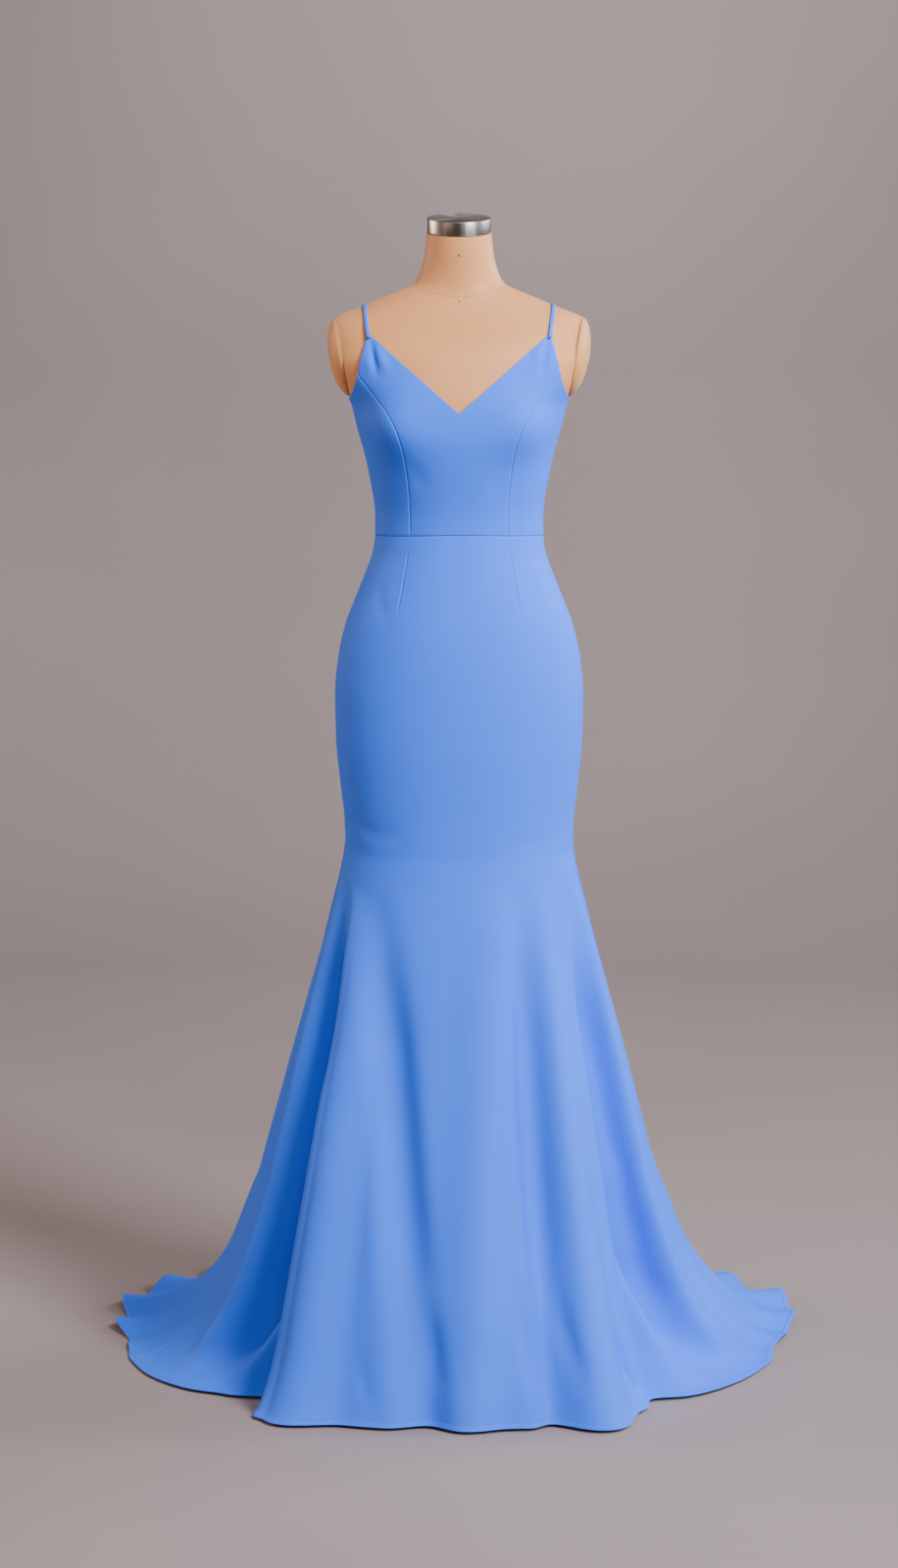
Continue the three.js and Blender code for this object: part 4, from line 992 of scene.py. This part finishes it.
for i, z in enumerate(np.arange(ZIP_BOTTOM + 0.003, ZIP_TOP - 0.001, tooth_pitch)):
    place = np.array([0.00036 if i % 2 else -0.00036, zip_out(z) - 0.0008, z])
    faces += [[v + len(points) for v in f] for f in tooth_faces]
    points += [tuple(p) for p in tooth_points + place]
mesh = bpy.data.meshes.new("gown_zip_teeth")
mesh.from_pydata(points, [], faces)
zip_teeth = bpy.data.objects.new("gown_zip_teeth", mesh)
bpy.context.scene.collection.objects.link(zip_teeth)
print("zip:", i + 1, "teeth,", triangles(zip_teeth), "triangles")

# %% Slider
SLIDER = {"wide": 0.007, "high": 0.011, "deep": 0.0022, "z": 1.356, "reach": 0.0046}
slider_out = float(form_reach(math.pi, SLIDER["z"] + SLIDER["high"] / 2)) + EASE
bpy.ops.object.select_all(action="DESELECT")
bpy.ops.mesh.primitive_cube_add(size=1, location=(0, slider_out + SEAM + SLIDER["deep"] / 2, SLIDER["z"]))
slider = added("gown_zip_slider")
slider.scale = (SLIDER["wide"], SLIDER["deep"], SLIDER["high"])
settle(slider)
for vertex in slider.data.vertices:
    if vertex.co.z < SLIDER["z"]:
        vertex.co.x *= 0.66
bpy.ops.object.mode_set(mode="EDIT")
bpy.ops.mesh.select_all(action="SELECT")
bpy.ops.mesh.bevel(offset=0.0006, segments=3)
bpy.ops.object.mode_set(mode="OBJECT")
bridge = []
for side in (-1, 1):
    bpy.ops.object.select_all(action="DESELECT")
    bpy.ops.mesh.primitive_cube_add(size=1, location=(side * 0.0029, slider_out + 0.0040, SLIDER["z"]))
    cheek = added("cheek")
    cheek.scale = (0.0012, 0.0040, 0.0040)
    settle(cheek)
    bpy.ops.object.mode_set(mode="EDIT")
    bpy.ops.mesh.select_all(action="SELECT")
    bpy.ops.mesh.bevel(offset=0.0004, segments=2)
    bpy.ops.object.mode_set(mode="OBJECT")
    bridge.append(cheek)
bpy.ops.object.select_all(action="DESELECT")
bpy.ops.mesh.primitive_cylinder_add(vertices=20, radius=0.0007, depth=0.0058,
                                    location=(0, slider_out + SLIDER["reach"], SLIDER["z"]),
                                    rotation=(0, math.pi / 2, 0))
bridge.append(added("pin"))
settle(bridge[-1])
only(slider)
for part in bridge:
    part.select_set(True)
bpy.ops.object.join()
bpy.ops.object.shade_smooth_by_angle(angle=math.radians(35))
print("slider:", triangles(slider), "triangles")

# %% Pull tab
PULL = {"length": 0.024, "thick": 0.001, "eye": 0.0017, "hole": 0.00105, "neck": 0.0032, "broad": 0.0064}
pivot = Vector((0, slider_out + SLIDER["reach"], SLIDER["z"]))
bpy.ops.object.select_all(action="DESELECT")
bpy.ops.mesh.primitive_circle_add(vertices=40, radius=PULL["broad"] / 2, fill_type="NGON",
                                  rotation=(math.pi / 2, 0, 0))
pull = added("gown_zip_pull")
settle(pull)
top_z, low_z = -(PULL["hole"] + PULL["eye"]) / 2, -PULL["length"] + PULL["broad"] / 2
for vertex in pull.data.vertices:
    if vertex.co.z > 0:
        share = vertex.co.z / (PULL["broad"] / 2)
        vertex.co.x = math.copysign(lerp(PULL["broad"], PULL["neck"], share) / 2, vertex.co.x) \
            if abs(vertex.co.x) > 1e-6 else 0
        vertex.co.z = lerp(low_z, top_z, share)
    else:
        vertex.co.z += low_z
bpy.ops.object.mode_set(mode="EDIT")
bpy.ops.mesh.select_all(action="SELECT")
bpy.ops.mesh.extrude_region_move(TRANSFORM_OT_translate={"value": (0, PULL["thick"], 0)})
bpy.ops.mesh.select_all(action="SELECT")
bpy.ops.mesh.normals_make_consistent(inside=False)
bpy.ops.object.mode_set(mode="OBJECT")
pull.location = pivot + Vector((0, -PULL["thick"] / 2, 0))
settle(pull)
soften = pull.modifiers.new("soften", "BEVEL")
soften.width, soften.segments, soften.limit_method = 0.0003, 3, "ANGLE"
apply_modifiers(pull)
bpy.ops.object.select_all(action="DESELECT")
bpy.ops.mesh.primitive_torus_add(major_segments=32, minor_segments=12, location=pivot,
                                 rotation=(0, math.pi / 2, 0),
                                 major_radius=(PULL["eye"] + PULL["hole"]) / 2,
                                 minor_radius=(PULL["eye"] - PULL["hole"]) / 2)
eye = added("eye")
settle(eye)
eye.select_set(True)
pull.select_set(True)
bpy.context.view_layer.objects.active = pull
bpy.ops.object.join()
bpy.ops.object.shade_smooth_by_angle(angle=math.radians(35))
print("pull:", triangles(pull), "triangles")

# %% [markdown]
# ## Finishes
#
# Crepe is matte because its yarns are twisted so hard that they crinkle. It has no sharp highlight,
# only a broad soft glow, a little fuzz at grazing angles and slow changes of tone where the cloth was
# handled. Three small node groups are shared: a crinkled grain, a slow mottle, and fine brushed
# lines for steel. They read the flat cloth's own map or the object's coordinates.

# %% Node helpers
def node(tree, kind, **values):
    made = tree.nodes.new(kind)
    for key, value in values.items():
        if hasattr(made, key):
            setattr(made, key, value)
        else:
            made.inputs[key.replace("_", " ")].default_value = value
    return made


def group(name, inputs, outputs):
    tree = bpy.data.node_groups.new(name, "ShaderNodeTree")
    for label, kind, value in inputs:
        socket = tree.interface.new_socket(name=label, in_out="INPUT", socket_type=kind)
        if value is not None:
            socket.default_value = value
    for label, kind in outputs:
        tree.interface.new_socket(name=label, in_out="OUTPUT", socket_type=kind)
    return tree, tree.nodes.new("NodeGroupInput"), tree.nodes.new("NodeGroupOutput")


def placed(tree, source, **values):
    made = tree.nodes.new("ShaderNodeGroup")
    made.node_tree = source
    for key, value in values.items():
        made.inputs[key].default_value = value
    return made


# %% Crinkled grain
grain_tree, start, end = group(
    "crinkled_grain", [("Vector", "NodeSocketVector", None), ("Fineness", "NodeSocketFloat", 1800.0)],
    [("Height", "NodeSocketFloat"), ("Tone", "NodeSocketFloat")])
stretch = node(grain_tree, "ShaderNodeVectorMath", operation="MULTIPLY")
stretch.inputs[1].default_value = (1.0, 0.55, 1.0)
pebble = node(grain_tree, "ShaderNodeTexNoise", Detail=2.0, Roughness=0.6)
crinkle = node(grain_tree, "ShaderNodeTexVoronoi", feature="SMOOTH_F1")
crinkle.inputs["Smoothness"].default_value = 0.6
blend_heights = node(grain_tree, "ShaderNodeMath", operation="MULTIPLY_ADD")
blend_heights.inputs[1].default_value = 0.6
link = grain_tree.links.new
link(start.outputs["Vector"], stretch.inputs[0])
for texture in (pebble, crinkle):
    link(stretch.outputs[0], texture.inputs["Vector"])
    link(start.outputs["Fineness"], texture.inputs["Scale"])
link(crinkle.outputs["Distance"], blend_heights.inputs[0])
link(pebble.outputs["Fac"], blend_heights.inputs[2])
link(blend_heights.outputs[0], end.inputs["Height"])
link(pebble.outputs["Fac"], end.inputs["Tone"])

# %% Slow mottle
mottle_tree, start, end = group(
    "slow_mottle", [("Vector", "NodeSocketVector", None), ("Size", "NodeSocketFloat", 6.0)],
    [("Tone", "NodeSocketFloat")])
broad = node(mottle_tree, "ShaderNodeTexNoise", Detail=3.0, Roughness=0.55)
even = node(mottle_tree, "ShaderNodeMapRange")
even.inputs["From Min"].default_value, even.inputs["From Max"].default_value = 0.3, 0.7
link = mottle_tree.links.new
link(start.outputs["Vector"], broad.inputs["Vector"])
link(start.outputs["Size"], broad.inputs["Scale"])
link(broad.outputs["Fac"], even.inputs["Value"])
link(even.outputs["Result"], end.inputs["Tone"])

# %% Brushed lines
brush_tree, start, end = group(
    "brushed_lines", [("Vector", "NodeSocketVector", None), ("Fineness", "NodeSocketFloat", 40.0)],
    [("Height", "NodeSocketFloat"), ("Tone", "NodeSocketFloat")])
streaks = node(brush_tree, "ShaderNodeTexNoise", Detail=4.0, Roughness=0.7)
link = brush_tree.links.new
link(start.outputs["Vector"], streaks.inputs["Vector"])
link(start.outputs["Fineness"], streaks.inputs["Scale"])
link(streaks.outputs["Fac"], end.inputs["Height"])
link(streaks.outputs["Fac"], end.inputs["Tone"])
print("shared groups:", [g.name for g in bpy.data.node_groups])

# %% [markdown]
# The crepe's colour moves between two close blues. Beside a seam the colour is painted a little
# lighter, a painted highlight where the turned-in edge catches the light; the seam itself is painted
# dark, as painted shade in its groove; and the hem carries a line of small stitches eight millimetres
# from the edge, each painted with shade where it dips. These marks follow the distances that every
# sheet keeps.

# %% Crepe
def material(name):
    made = bpy.data.materials.new(name)
    made.use_nodes = True
    tree = made.node_tree
    shader = tree.nodes["Principled BSDF"]
    return made, tree, shader, tree.links.new


def mixed(tree, a, b):
    mix = tree.nodes.new("ShaderNodeMix")
    mix.data_type = "RGBA"
    mix.inputs["A"].default_value, mix.inputs["B"].default_value = (*a, 1), (*b, 1)
    return mix


def ramp(tree, low, high, out_low, out_high):
    made = tree.nodes.new("ShaderNodeMapRange")
    made.interpolation_type = "SMOOTHSTEP"
    for key, value in (("From Min", low), ("From Max", high), ("To Min", out_low), ("To Max", out_high)):
        made.inputs[key].default_value = value
    return made


# the third colour is the painted shade of seam grooves and hem stitch dips
CREPE_LIGHT, CREPE_DEEP, CREPE_PAINTED_SHADE = (0.027, 0.139, 0.86), (0.024, 0.127, 0.82), (0.014, 0.072, 0.52)
crepe, tree, shader, link = material("crepe_blue")
cloth_map = node(tree, "ShaderNodeUVMap", uv_map="UVMap")
place = node(tree, "ShaderNodeTexCoord")
seam_gap = node(tree, "ShaderNodeAttribute", attribute_name="from_seam")
hem_gap = node(tree, "ShaderNodeAttribute", attribute_name="from_hem")
grain = placed(tree, grain_tree, Fineness=1500.0)
mottle = placed(tree, mottle_tree, Size=5.0)
link(cloth_map.outputs[0], grain.inputs["Vector"])
link(place.outputs["Object"], mottle.inputs["Vector"])
body = mixed(tree, CREPE_DEEP, CREPE_LIGHT)
link(mottle.outputs["Tone"], body.inputs["Factor"])
fleck = mixed(tree, (0.93, 0.94, 0.96), (1.05, 1.04, 1.03))
fleck_on = tree.nodes.new("ShaderNodeMix")
fleck_on.data_type, fleck_on.blend_type = "RGBA", "MULTIPLY"
fleck_on.inputs["Factor"].default_value = 0.8
link(grain.outputs["Tone"], fleck.inputs["Factor"])
link(body.outputs["Result"], fleck_on.inputs["A"])
link(fleck.outputs["Result"], fleck_on.inputs["B"])
# painted highlight: the cloth beside a seam is painted lighter, where the turned-in edge catches the light
seam_edge_highlight = mixed(tree, (0, 0, 0), (0.09, 0.25, 0.90))
seam_edge_highlight_on = ramp(tree, 0.0008, 0.0030, 0.30, 0.0)
link(seam_gap.outputs["Fac"], seam_edge_highlight_on.inputs["Value"])
link(fleck_on.outputs["Result"], seam_edge_highlight.inputs["A"])
link(seam_edge_highlight_on.outputs["Result"], seam_edge_highlight.inputs["Factor"])
# painted shade: the seam's groove is painted dark
seam_shaded = mixed(tree, (0, 0, 0), CREPE_PAINTED_SHADE)
seam_shade_on = ramp(tree, 0.0001, 0.0008, 0.75, 0.0)
link(seam_gap.outputs["Fac"], seam_shade_on.inputs["Value"])
link(seam_edge_highlight.outputs["Result"], seam_shaded.inputs["A"])
link(seam_shade_on.outputs["Result"], seam_shaded.inputs["Factor"])

# a stitch is painted with shade where it dips, along the hem and across its line
split = node(tree, "ShaderNodeSeparateXYZ")
along = node(tree, "ShaderNodeMath", operation="MULTIPLY")
along.inputs[1].default_value = 2 * math.pi / STITCH_PITCH
beat = node(tree, "ShaderNodeMath", operation="SINE")
from_line = node(tree, "ShaderNodeMath", operation="SUBTRACT")
from_line.inputs[1].default_value = HEM_LINE
apart = node(tree, "ShaderNodeMath", operation="ABSOLUTE")
line_on = ramp(tree, 0.0002, 0.0008, 1.0, 0.0)
beat_on = ramp(tree, -0.4, 0.4, 0.25, 0.75)
stitch_shade_on = node(tree, "ShaderNodeMath", operation="MULTIPLY")
link(cloth_map.outputs[0], split.inputs[0])
link(split.outputs["X"], along.inputs[0])
link(along.outputs[0], beat.inputs[0])
link(beat.outputs[0], beat_on.inputs["Value"])
link(hem_gap.outputs["Fac"], from_line.inputs[0])
link(from_line.outputs[0], apart.inputs[0])
link(apart.outputs[0], line_on.inputs["Value"])
link(line_on.outputs["Result"], stitch_shade_on.inputs[0])
link(beat_on.outputs["Result"], stitch_shade_on.inputs[1])
stitch_shaded = mixed(tree, (0, 0, 0), CREPE_PAINTED_SHADE)
link(seam_shaded.outputs["Result"], stitch_shaded.inputs["A"])
link(stitch_shade_on.outputs[0], stitch_shaded.inputs["Factor"])
link(stitch_shaded.outputs["Result"], shader.inputs["Base Color"])

rough = ramp(tree, 0.2, 0.8, 0.60, 0.70)
link(grain.outputs["Tone"], rough.inputs["Value"])
link(rough.outputs["Result"], shader.inputs["Roughness"])
bump = node(tree, "ShaderNodeBump", Strength=0.35, Distance=0.00012)
link(grain.outputs["Height"], bump.inputs["Height"])
link(bump.outputs["Normal"], shader.inputs["Normal"])
shader.inputs["Specular IOR Level"].default_value = 0.1
shader.inputs["Sheen Weight"].default_value = 0.1
shader.inputs["Sheen Roughness"].default_value = 0.45
shader.inputs["Sheen Tint"].default_value = (0.08, 0.42, 1.0, 1)
print(crepe.name, "nodes:", len(tree.nodes))

# %% [markdown]
# The form's cover is a thin tan fabric stretched over the padding and worn smooth. The steel of the
# cap is brushed round its side and in circles on its top, and bright and dark bands of the studio
# lights are painted into its colour by bearing, as painted reflections on its side and top. The stand
# is brushed too, and the zip's slider is lacquered in the gown's colour, as on a concealed zip.

# %% Cover of the form
def cover_material(name, light, deep, roughness):
    made, tree, shader, link = material(name)
    place = node(tree, "ShaderNodeTexCoord")
    grain = placed(tree, grain_tree, Fineness=1100.0)
    mottle = placed(tree, mottle_tree, Size=9.0)
    link(place.outputs["Object"], grain.inputs["Vector"])
    link(place.outputs["Object"], mottle.inputs["Vector"])
    base = mixed(tree, deep, light)
    link(mottle.outputs["Tone"], base.inputs["Factor"])
    link(base.outputs["Result"], shader.inputs["Base Color"])
    rough = ramp(tree, 0.2, 0.8, roughness - 0.05, roughness + 0.07)
    link(grain.outputs["Tone"], rough.inputs["Value"])
    link(rough.outputs["Result"], shader.inputs["Roughness"])
    bump = node(tree, "ShaderNodeBump", Strength=0.25, Distance=0.0001)
    link(grain.outputs["Height"], bump.inputs["Height"])
    link(bump.outputs["Normal"], shader.inputs["Normal"])
    shader.inputs["Specular IOR Level"].default_value = 0.25
    shader.inputs["Sheen Weight"].default_value = 0.06
    shader.inputs["Sheen Roughness"].default_value = 0.5
    return made


cover = cover_material("form_cover_tan", (0.56, 0.243, 0.096), (0.51, 0.214, 0.079), 0.52)
thread_brown = cover_material("cover_thread", (0.44, 0.195, 0.075), (0.39, 0.17, 0.062), 0.6)
pin_dark = cover_material("pin_head", (0.10, 0.06, 0.04), (0.06, 0.04, 0.03), 0.4)
print("cover finishes:", cover.name, thread_brown.name, pin_dark.name)

# %% Brushed steel, stand metal and zip metal
def metal_material(name, light, deep, roughness, mapping, turn=(0, 0, 0), centre=(0, 0, 0)):
    made, tree, shader, link = material(name)
    place = node(tree, "ShaderNodeTexCoord")
    turned = node(tree, "ShaderNodeMapping", vector_type="TEXTURE")
    turned.inputs["Location"].default_value = centre
    turned.inputs["Rotation"].default_value = turn
    squeezed = node(tree, "ShaderNodeVectorMath", operation="MULTIPLY")
    squeezed.inputs[1].default_value = mapping
    brush = placed(tree, brush_tree, Fineness=1.0)
    link(place.outputs["Object"], turned.inputs["Vector"])
    link(turned.outputs[0], squeezed.inputs[0])
    link(squeezed.outputs[0], brush.inputs["Vector"])
    base = mixed(tree, deep, light)
    link(brush.outputs["Tone"], base.inputs["Factor"])
    link(base.outputs["Result"], shader.inputs["Base Color"])
    rough = ramp(tree, 0.25, 0.75, roughness - 0.06, roughness + 0.08)
    link(brush.outputs["Tone"], rough.inputs["Value"])
    link(rough.outputs["Result"], shader.inputs["Roughness"])
    bump = node(tree, "ShaderNodeBump", Strength=0.2, Distance=0.00008)
    link(brush.outputs["Height"], bump.inputs["Height"])
    link(bump.outputs["Normal"], shader.inputs["Normal"])
    shader.inputs["Metallic"].default_value = 1.0
    return made


steel = metal_material("brushed_steel", (0.70, 0.68, 0.665), (0.56, 0.545, 0.53), 0.34, (8, 8, 2500),
                       turn=(NECK_TILT, 0, 0), centre=tuple(seat))
tree, link = steel.node_tree, steel.node_tree.links.new
shader = tree.nodes["Principled BSDF"]
local = next(n for n in tree.nodes if n.bl_idname == "ShaderNodeMapping")
split = node(tree, "ShaderNodeSeparateXYZ")
ahead = node(tree, "ShaderNodeMath", operation="MULTIPLY")
ahead.inputs[1].default_value = -1
bearing = node(tree, "ShaderNodeMath", operation="ARCTAN2")
share = node(tree, "ShaderNodeMapRange")
share.inputs["From Min"].default_value, share.inputs["From Max"].default_value = -math.pi, math.pi
on_top = ramp(tree, CAP_HEIGHT - 0.0012, CAP_HEIGHT - 0.0006, 0.0, 1.0)
link(local.outputs[0], split.inputs[0])
link(split.outputs["Y"], ahead.inputs[0])
link(split.outputs["X"], bearing.inputs[0])
link(ahead.outputs[0], bearing.inputs[1])
link(bearing.outputs[0], share.inputs["Value"])
link(split.outputs["Z"], on_top.inputs["Value"])


def painted_reflection_bands(stops):
    """Painted reflections round the cap: bright and dark bands of the studio lights, by bearing in
    degrees, 0 at the front and left positive.
    """
    made = tree.nodes.new("ShaderNodeValToRGB")
    made.color_ramp.interpolation = "EASE"
    for index, (degrees, tone) in enumerate(stops):
        place = degrees / 360 + 0.5
        stop = made.color_ramp.elements[index] if index < 2 else made.color_ramp.elements.new(place)
        stop.position, stop.color = place, (tone, tone, tone, 1)
    link(share.outputs["Result"], made.inputs[0])
    return made


# painted reflections: the studio lights' bright bands and the dark gaps between them, multiplied into the
# cap's colour
side_painted_reflections = painted_reflection_bands([(-180, 0.5), (180, 0.5), (-120, 0.9), (-90, 0.25), (-70, 0.22), (-62, 0.55),
                    (-50, 0.78), (-28, 0.72), (-19, 0.28), (-2, 0.24), (8, 0.55), (15, 1.25),
                    (28, 1.3), (36, 0.62), (52, 0.45), (75, 0.35), (110, 0.8)])
top_painted_reflections = painted_reflection_bands([(-180, 0.6), (180, 0.6), (-150, 1.5), (-138, 0.6), (-70, 0.5), (-52, 1.5), (-40, 0.6),
                   (30, 0.5), (45, 0.8), (60, 0.5), (130, 0.5), (145, 0.9)])
painted_reflection, reflection_toned = tree.nodes.new("ShaderNodeMix"), tree.nodes.new("ShaderNodeMix")
painted_reflection.data_type = reflection_toned.data_type = "RGBA"
reflection_toned.blend_type = "MULTIPLY"
reflection_toned.inputs["Factor"].default_value = 1
link(on_top.outputs["Result"], painted_reflection.inputs["Factor"])
link(side_painted_reflections.outputs[0], painted_reflection.inputs["A"])
link(top_painted_reflections.outputs[0], painted_reflection.inputs["B"])
link(shader.inputs["Base Color"].links[0].from_socket, reflection_toned.inputs["A"])
link(painted_reflection.outputs["Result"], reflection_toned.inputs["B"])
link(reflection_toned.outputs["Result"], shader.inputs["Base Color"])
stand_steel = metal_material("stand_steel", (0.62, 0.61, 0.60), (0.48, 0.475, 0.47), 0.3, (90, 90, 1500))
stand_dark = metal_material("stand_paint", (0.055, 0.055, 0.06), (0.035, 0.035, 0.04), 0.42,
                            (400, 400, 400))
zip_blue = metal_material("zip_lacquer", (0.22, 0.42, 0.82), (0.17, 0.34, 0.72), 0.38, (900, 900, 900))
zip_blue.node_tree.nodes["Principled BSDF"].inputs["Metallic"].default_value = 0.35
print("metals:", steel.name, stand_steel.name, stand_dark.name, zip_blue.name)

# %% Give every piece its finish
def wear(piece, finish):
    piece.data.materials.clear()
    piece.data.materials.append(finish)


gown_pieces = [skirt_front_piece, *back_pieces, *bodice_pieces, *(s[0] for s in straps)]
finishes = [
    (gown_pieces, crepe), ([form, *caps], cover), ([*cover_seams, *cap_seams], thread_brown),
    (pins, pin_dark), ([neck_cap], steel), ([zip_teeth, slider, pull], zip_blue),
    ([nodes["form_flange"], nodes["form_pole"]], stand_steel), ([nodes["form_base"]], stand_dark),
]
for pieces, finish in finishes:
    for piece in pieces:
        wear(piece, finish)
print("finished pieces:", sum(len(pieces) for pieces, _ in finishes))

# %% [markdown]
# ## Tying the pieces to the frame
#
# Everything stands still on the form except the tab of the zip, which swings on the slider's pin. Each
# piece rides on its body and stands for the imported solids that it covers. The size that each cloth
# sheet was cut to is printed.

# %% Bodies and replaced nodes
GOWN, TAB = "gown_on_form", "zip_pull"
stands_for = [
    (skirt_front_piece, "skirt_front", "crepe"),
    (back_pieces[0], "skirt_back_left", "crepe"), (back_pieces[1], "skirt_back_right", "crepe"),
    (bodice_pieces[0], "bodice_front_centre", "crepe"),
    (bodice_pieces[1], "bodice_side_front_left", "crepe"),
    (bodice_pieces[2], "bodice_back_left", "crepe"),
    (bodice_pieces[3], "bodice_side_front_right", "crepe"),
    (bodice_pieces[4], "bodice_back_right", "crepe"),
    (straps[0][0], "strap_left", "crepe"), (straps[1][0], "strap_right", "crepe"),
    (form, "form_torso", "form_cover"),
    (caps[0], "form_shoulder_cap_left", "form_cover"),
    (caps[1], "form_shoulder_cap_right", "form_cover"),
    (neck_cap, "form_neck_cap", "neck_steel"),
    (zip_teeth, "zip_teeth", "zip"), (slider, "zip_slider", "zip"), (pull, "zip_pull", "zip"),
]
for piece, name, finish in stands_for:
    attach(piece, TAB if piece is pull else GOWN)
    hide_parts(name)
for piece in (*cover_seams, *cap_seams, *pins):
    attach(piece, GOWN)

# %% The cut of each sheet
for piece in (skirt_front_piece, *back_pieces, *bodice_pieces):
    wide, long, area = cuts[piece.name]
    wide, long, area = round(wide, 3), round(long, 3), round(area, 4)
    print(f"{piece.name}: cut {wide} x {long} m, {area} square metres")

# %% [markdown]
# ## Floor, light and camera
#
# The photograph is a studio picture from a little above the form's neck height. A pale floor runs up
# into a pale wall in one curve, so that no horizon shows; the wall is one-sided, so that a camera
# behind it still sees the gown's back. Eight soft lights model the folds: two keys from the right and
# front, two that draw the right edge, one high in front, two warm ones that fill the left, and one
# for the wall. A dim warm sky keeps the deepest valleys from going black.

# %% Floor
bpy.ops.object.select_all(action="DESELECT")
bpy.ops.mesh.primitive_plane_add(size=1, location=(0, 0, 0))
floor = added("studio_floor")
floor.scale = (14, 9, 1)
floor.location = (0, -1.6, 0)
settle(floor)
bpy.ops.object.mode_set(mode="EDIT")
bpy.ops.mesh.select_all(action="DESELECT")
bpy.ops.mesh.select_mode(type="EDGE")
bpy.ops.object.mode_set(mode="OBJECT")
for edge in floor.data.edges:
    ends = [floor.data.vertices[i].co.y for i in edge.vertices]
    edge.select = min(ends) > 2.8
bpy.ops.object.mode_set(mode="EDIT")
curve_steps, curve_step = 8, 0.24
for turn in range(curve_steps):
    rise = math.radians(90 * (turn + 0.5) / curve_steps)
    move = (0, curve_step * math.cos(rise), curve_step * math.sin(rise))
    bpy.ops.mesh.extrude_region_move(TRANSFORM_OT_translate={"value": move})
bpy.ops.mesh.extrude_region_move(TRANSFORM_OT_translate={"value": (0, 0, 5)})
bpy.ops.object.mode_set(mode="OBJECT")
bpy.ops.object.shade_smooth()
pale, tree, shader, link = material("pale_floor")
place = node(tree, "ShaderNodeTexCoord")
mottle = placed(tree, mottle_tree, Size=0.7)
base = mixed(tree, (0.214, 0.168, 0.168), (0.241, 0.192, 0.193))
link(place.outputs["Object"], mottle.inputs["Vector"])
link(mottle.outputs["Tone"], base.inputs["Factor"])
link(base.outputs["Result"], shader.inputs["Base Color"])
shader.inputs["Roughness"].default_value = 0.8
facing = node(tree, "ShaderNodeNewGeometry")
clear = node(tree, "ShaderNodeBsdfTransparent")
one_sided = node(tree, "ShaderNodeMixShader")
link(facing.outputs["Backfacing"], one_sided.inputs["Fac"])
link(shader.outputs["BSDF"], one_sided.inputs[1])
link(clear.outputs["BSDF"], one_sided.inputs[2])
link(one_sided.outputs["Shader"], tree.nodes["Material Output"].inputs["Surface"])
wear(floor, pale)

# %% Lights
def soft_light(name, place, aim, size, power, colour=(1, 1, 1)):
    lamp = bpy.data.lights.new(name, "AREA")
    lamp.shape, lamp.size, lamp.size_y = "RECTANGLE", *size
    lamp.energy, lamp.color, lamp.spread = power, colour, math.radians(105)
    light = bpy.data.objects.new(name, lamp)
    bpy.context.scene.collection.objects.link(light)
    light.location = place
    light.rotation_euler = (Vector(aim) - Vector(place)).to_track_quat("-Z", "Y").to_euler()


MIDDLE = (0, 0, 1.35)
soft_light("key", (2.96, -3.52, 2.6), MIDDLE, (1.2, 2.0), 70, (0.95, 1, 1))
soft_light("high_key", (2.6, -3.0, 4.4), MIDDLE, (1.4, 1.4), 145, (0.95, 1, 1))
soft_light("right_edge", (4.53, 0.8, 2.6), MIDDLE, (1.2, 2.0), 62, (0.93, 1, 1))
soft_light("right_back", (3.77, 2.64, 2.6), MIDDLE, (1.2, 2.0), 46)
soft_light("front", (0.5, -3.6, 4.6), MIDDLE, (1.6, 1.2), 30)
soft_light("left_fill", (-2.7, -3.7, 1.9), MIDDLE, (1.6, 2.2), 18, (1, 0.66, 0.46))
soft_light("left_back", (-4.3, 1.6, 1.9), MIDDLE, (1.6, 2.2), 54, (1, 0.78, 0.6))
soft_light("wall", (0.4, 1.6, 3.6), (0.3, 4.9, 1.0), (2.0, 0.6), 40)
world = bpy.data.worlds.new("studio")
bpy.context.scene.world = world
world.use_nodes = True
sky = world.node_tree.nodes["Background"]
sky.inputs["Color"].default_value = (1.0, 0.6, 0.42, 1)
sky.inputs["Strength"].default_value = 0.06

# %% Camera
lens_px, frame_px, axis_px = 4066, (916, 1600), 468.3
eye_place, look_down = (0, -5.5, 1.65), math.radians(8.45)
camera = bpy.data.cameras.new("camera")
camera.sensor_fit, camera.sensor_width, camera.sensor_height = "VERTICAL", 36, 36
camera.lens = lens_px / frame_px[1] * 36
camera.shift_x = -(axis_px - frame_px[0] / 2) / frame_px[1]
viewpoint = bpy.data.objects.new("camera", camera)
bpy.context.scene.collection.objects.link(viewpoint)
viewpoint.location = eye_place
viewpoint.rotation_euler = (math.radians(90) - look_down, 0, 0)
bpy.context.scene.camera = viewpoint
print("lens:", round(camera.lens, 2), "mm, shift", round(camera.shift_x, 4))
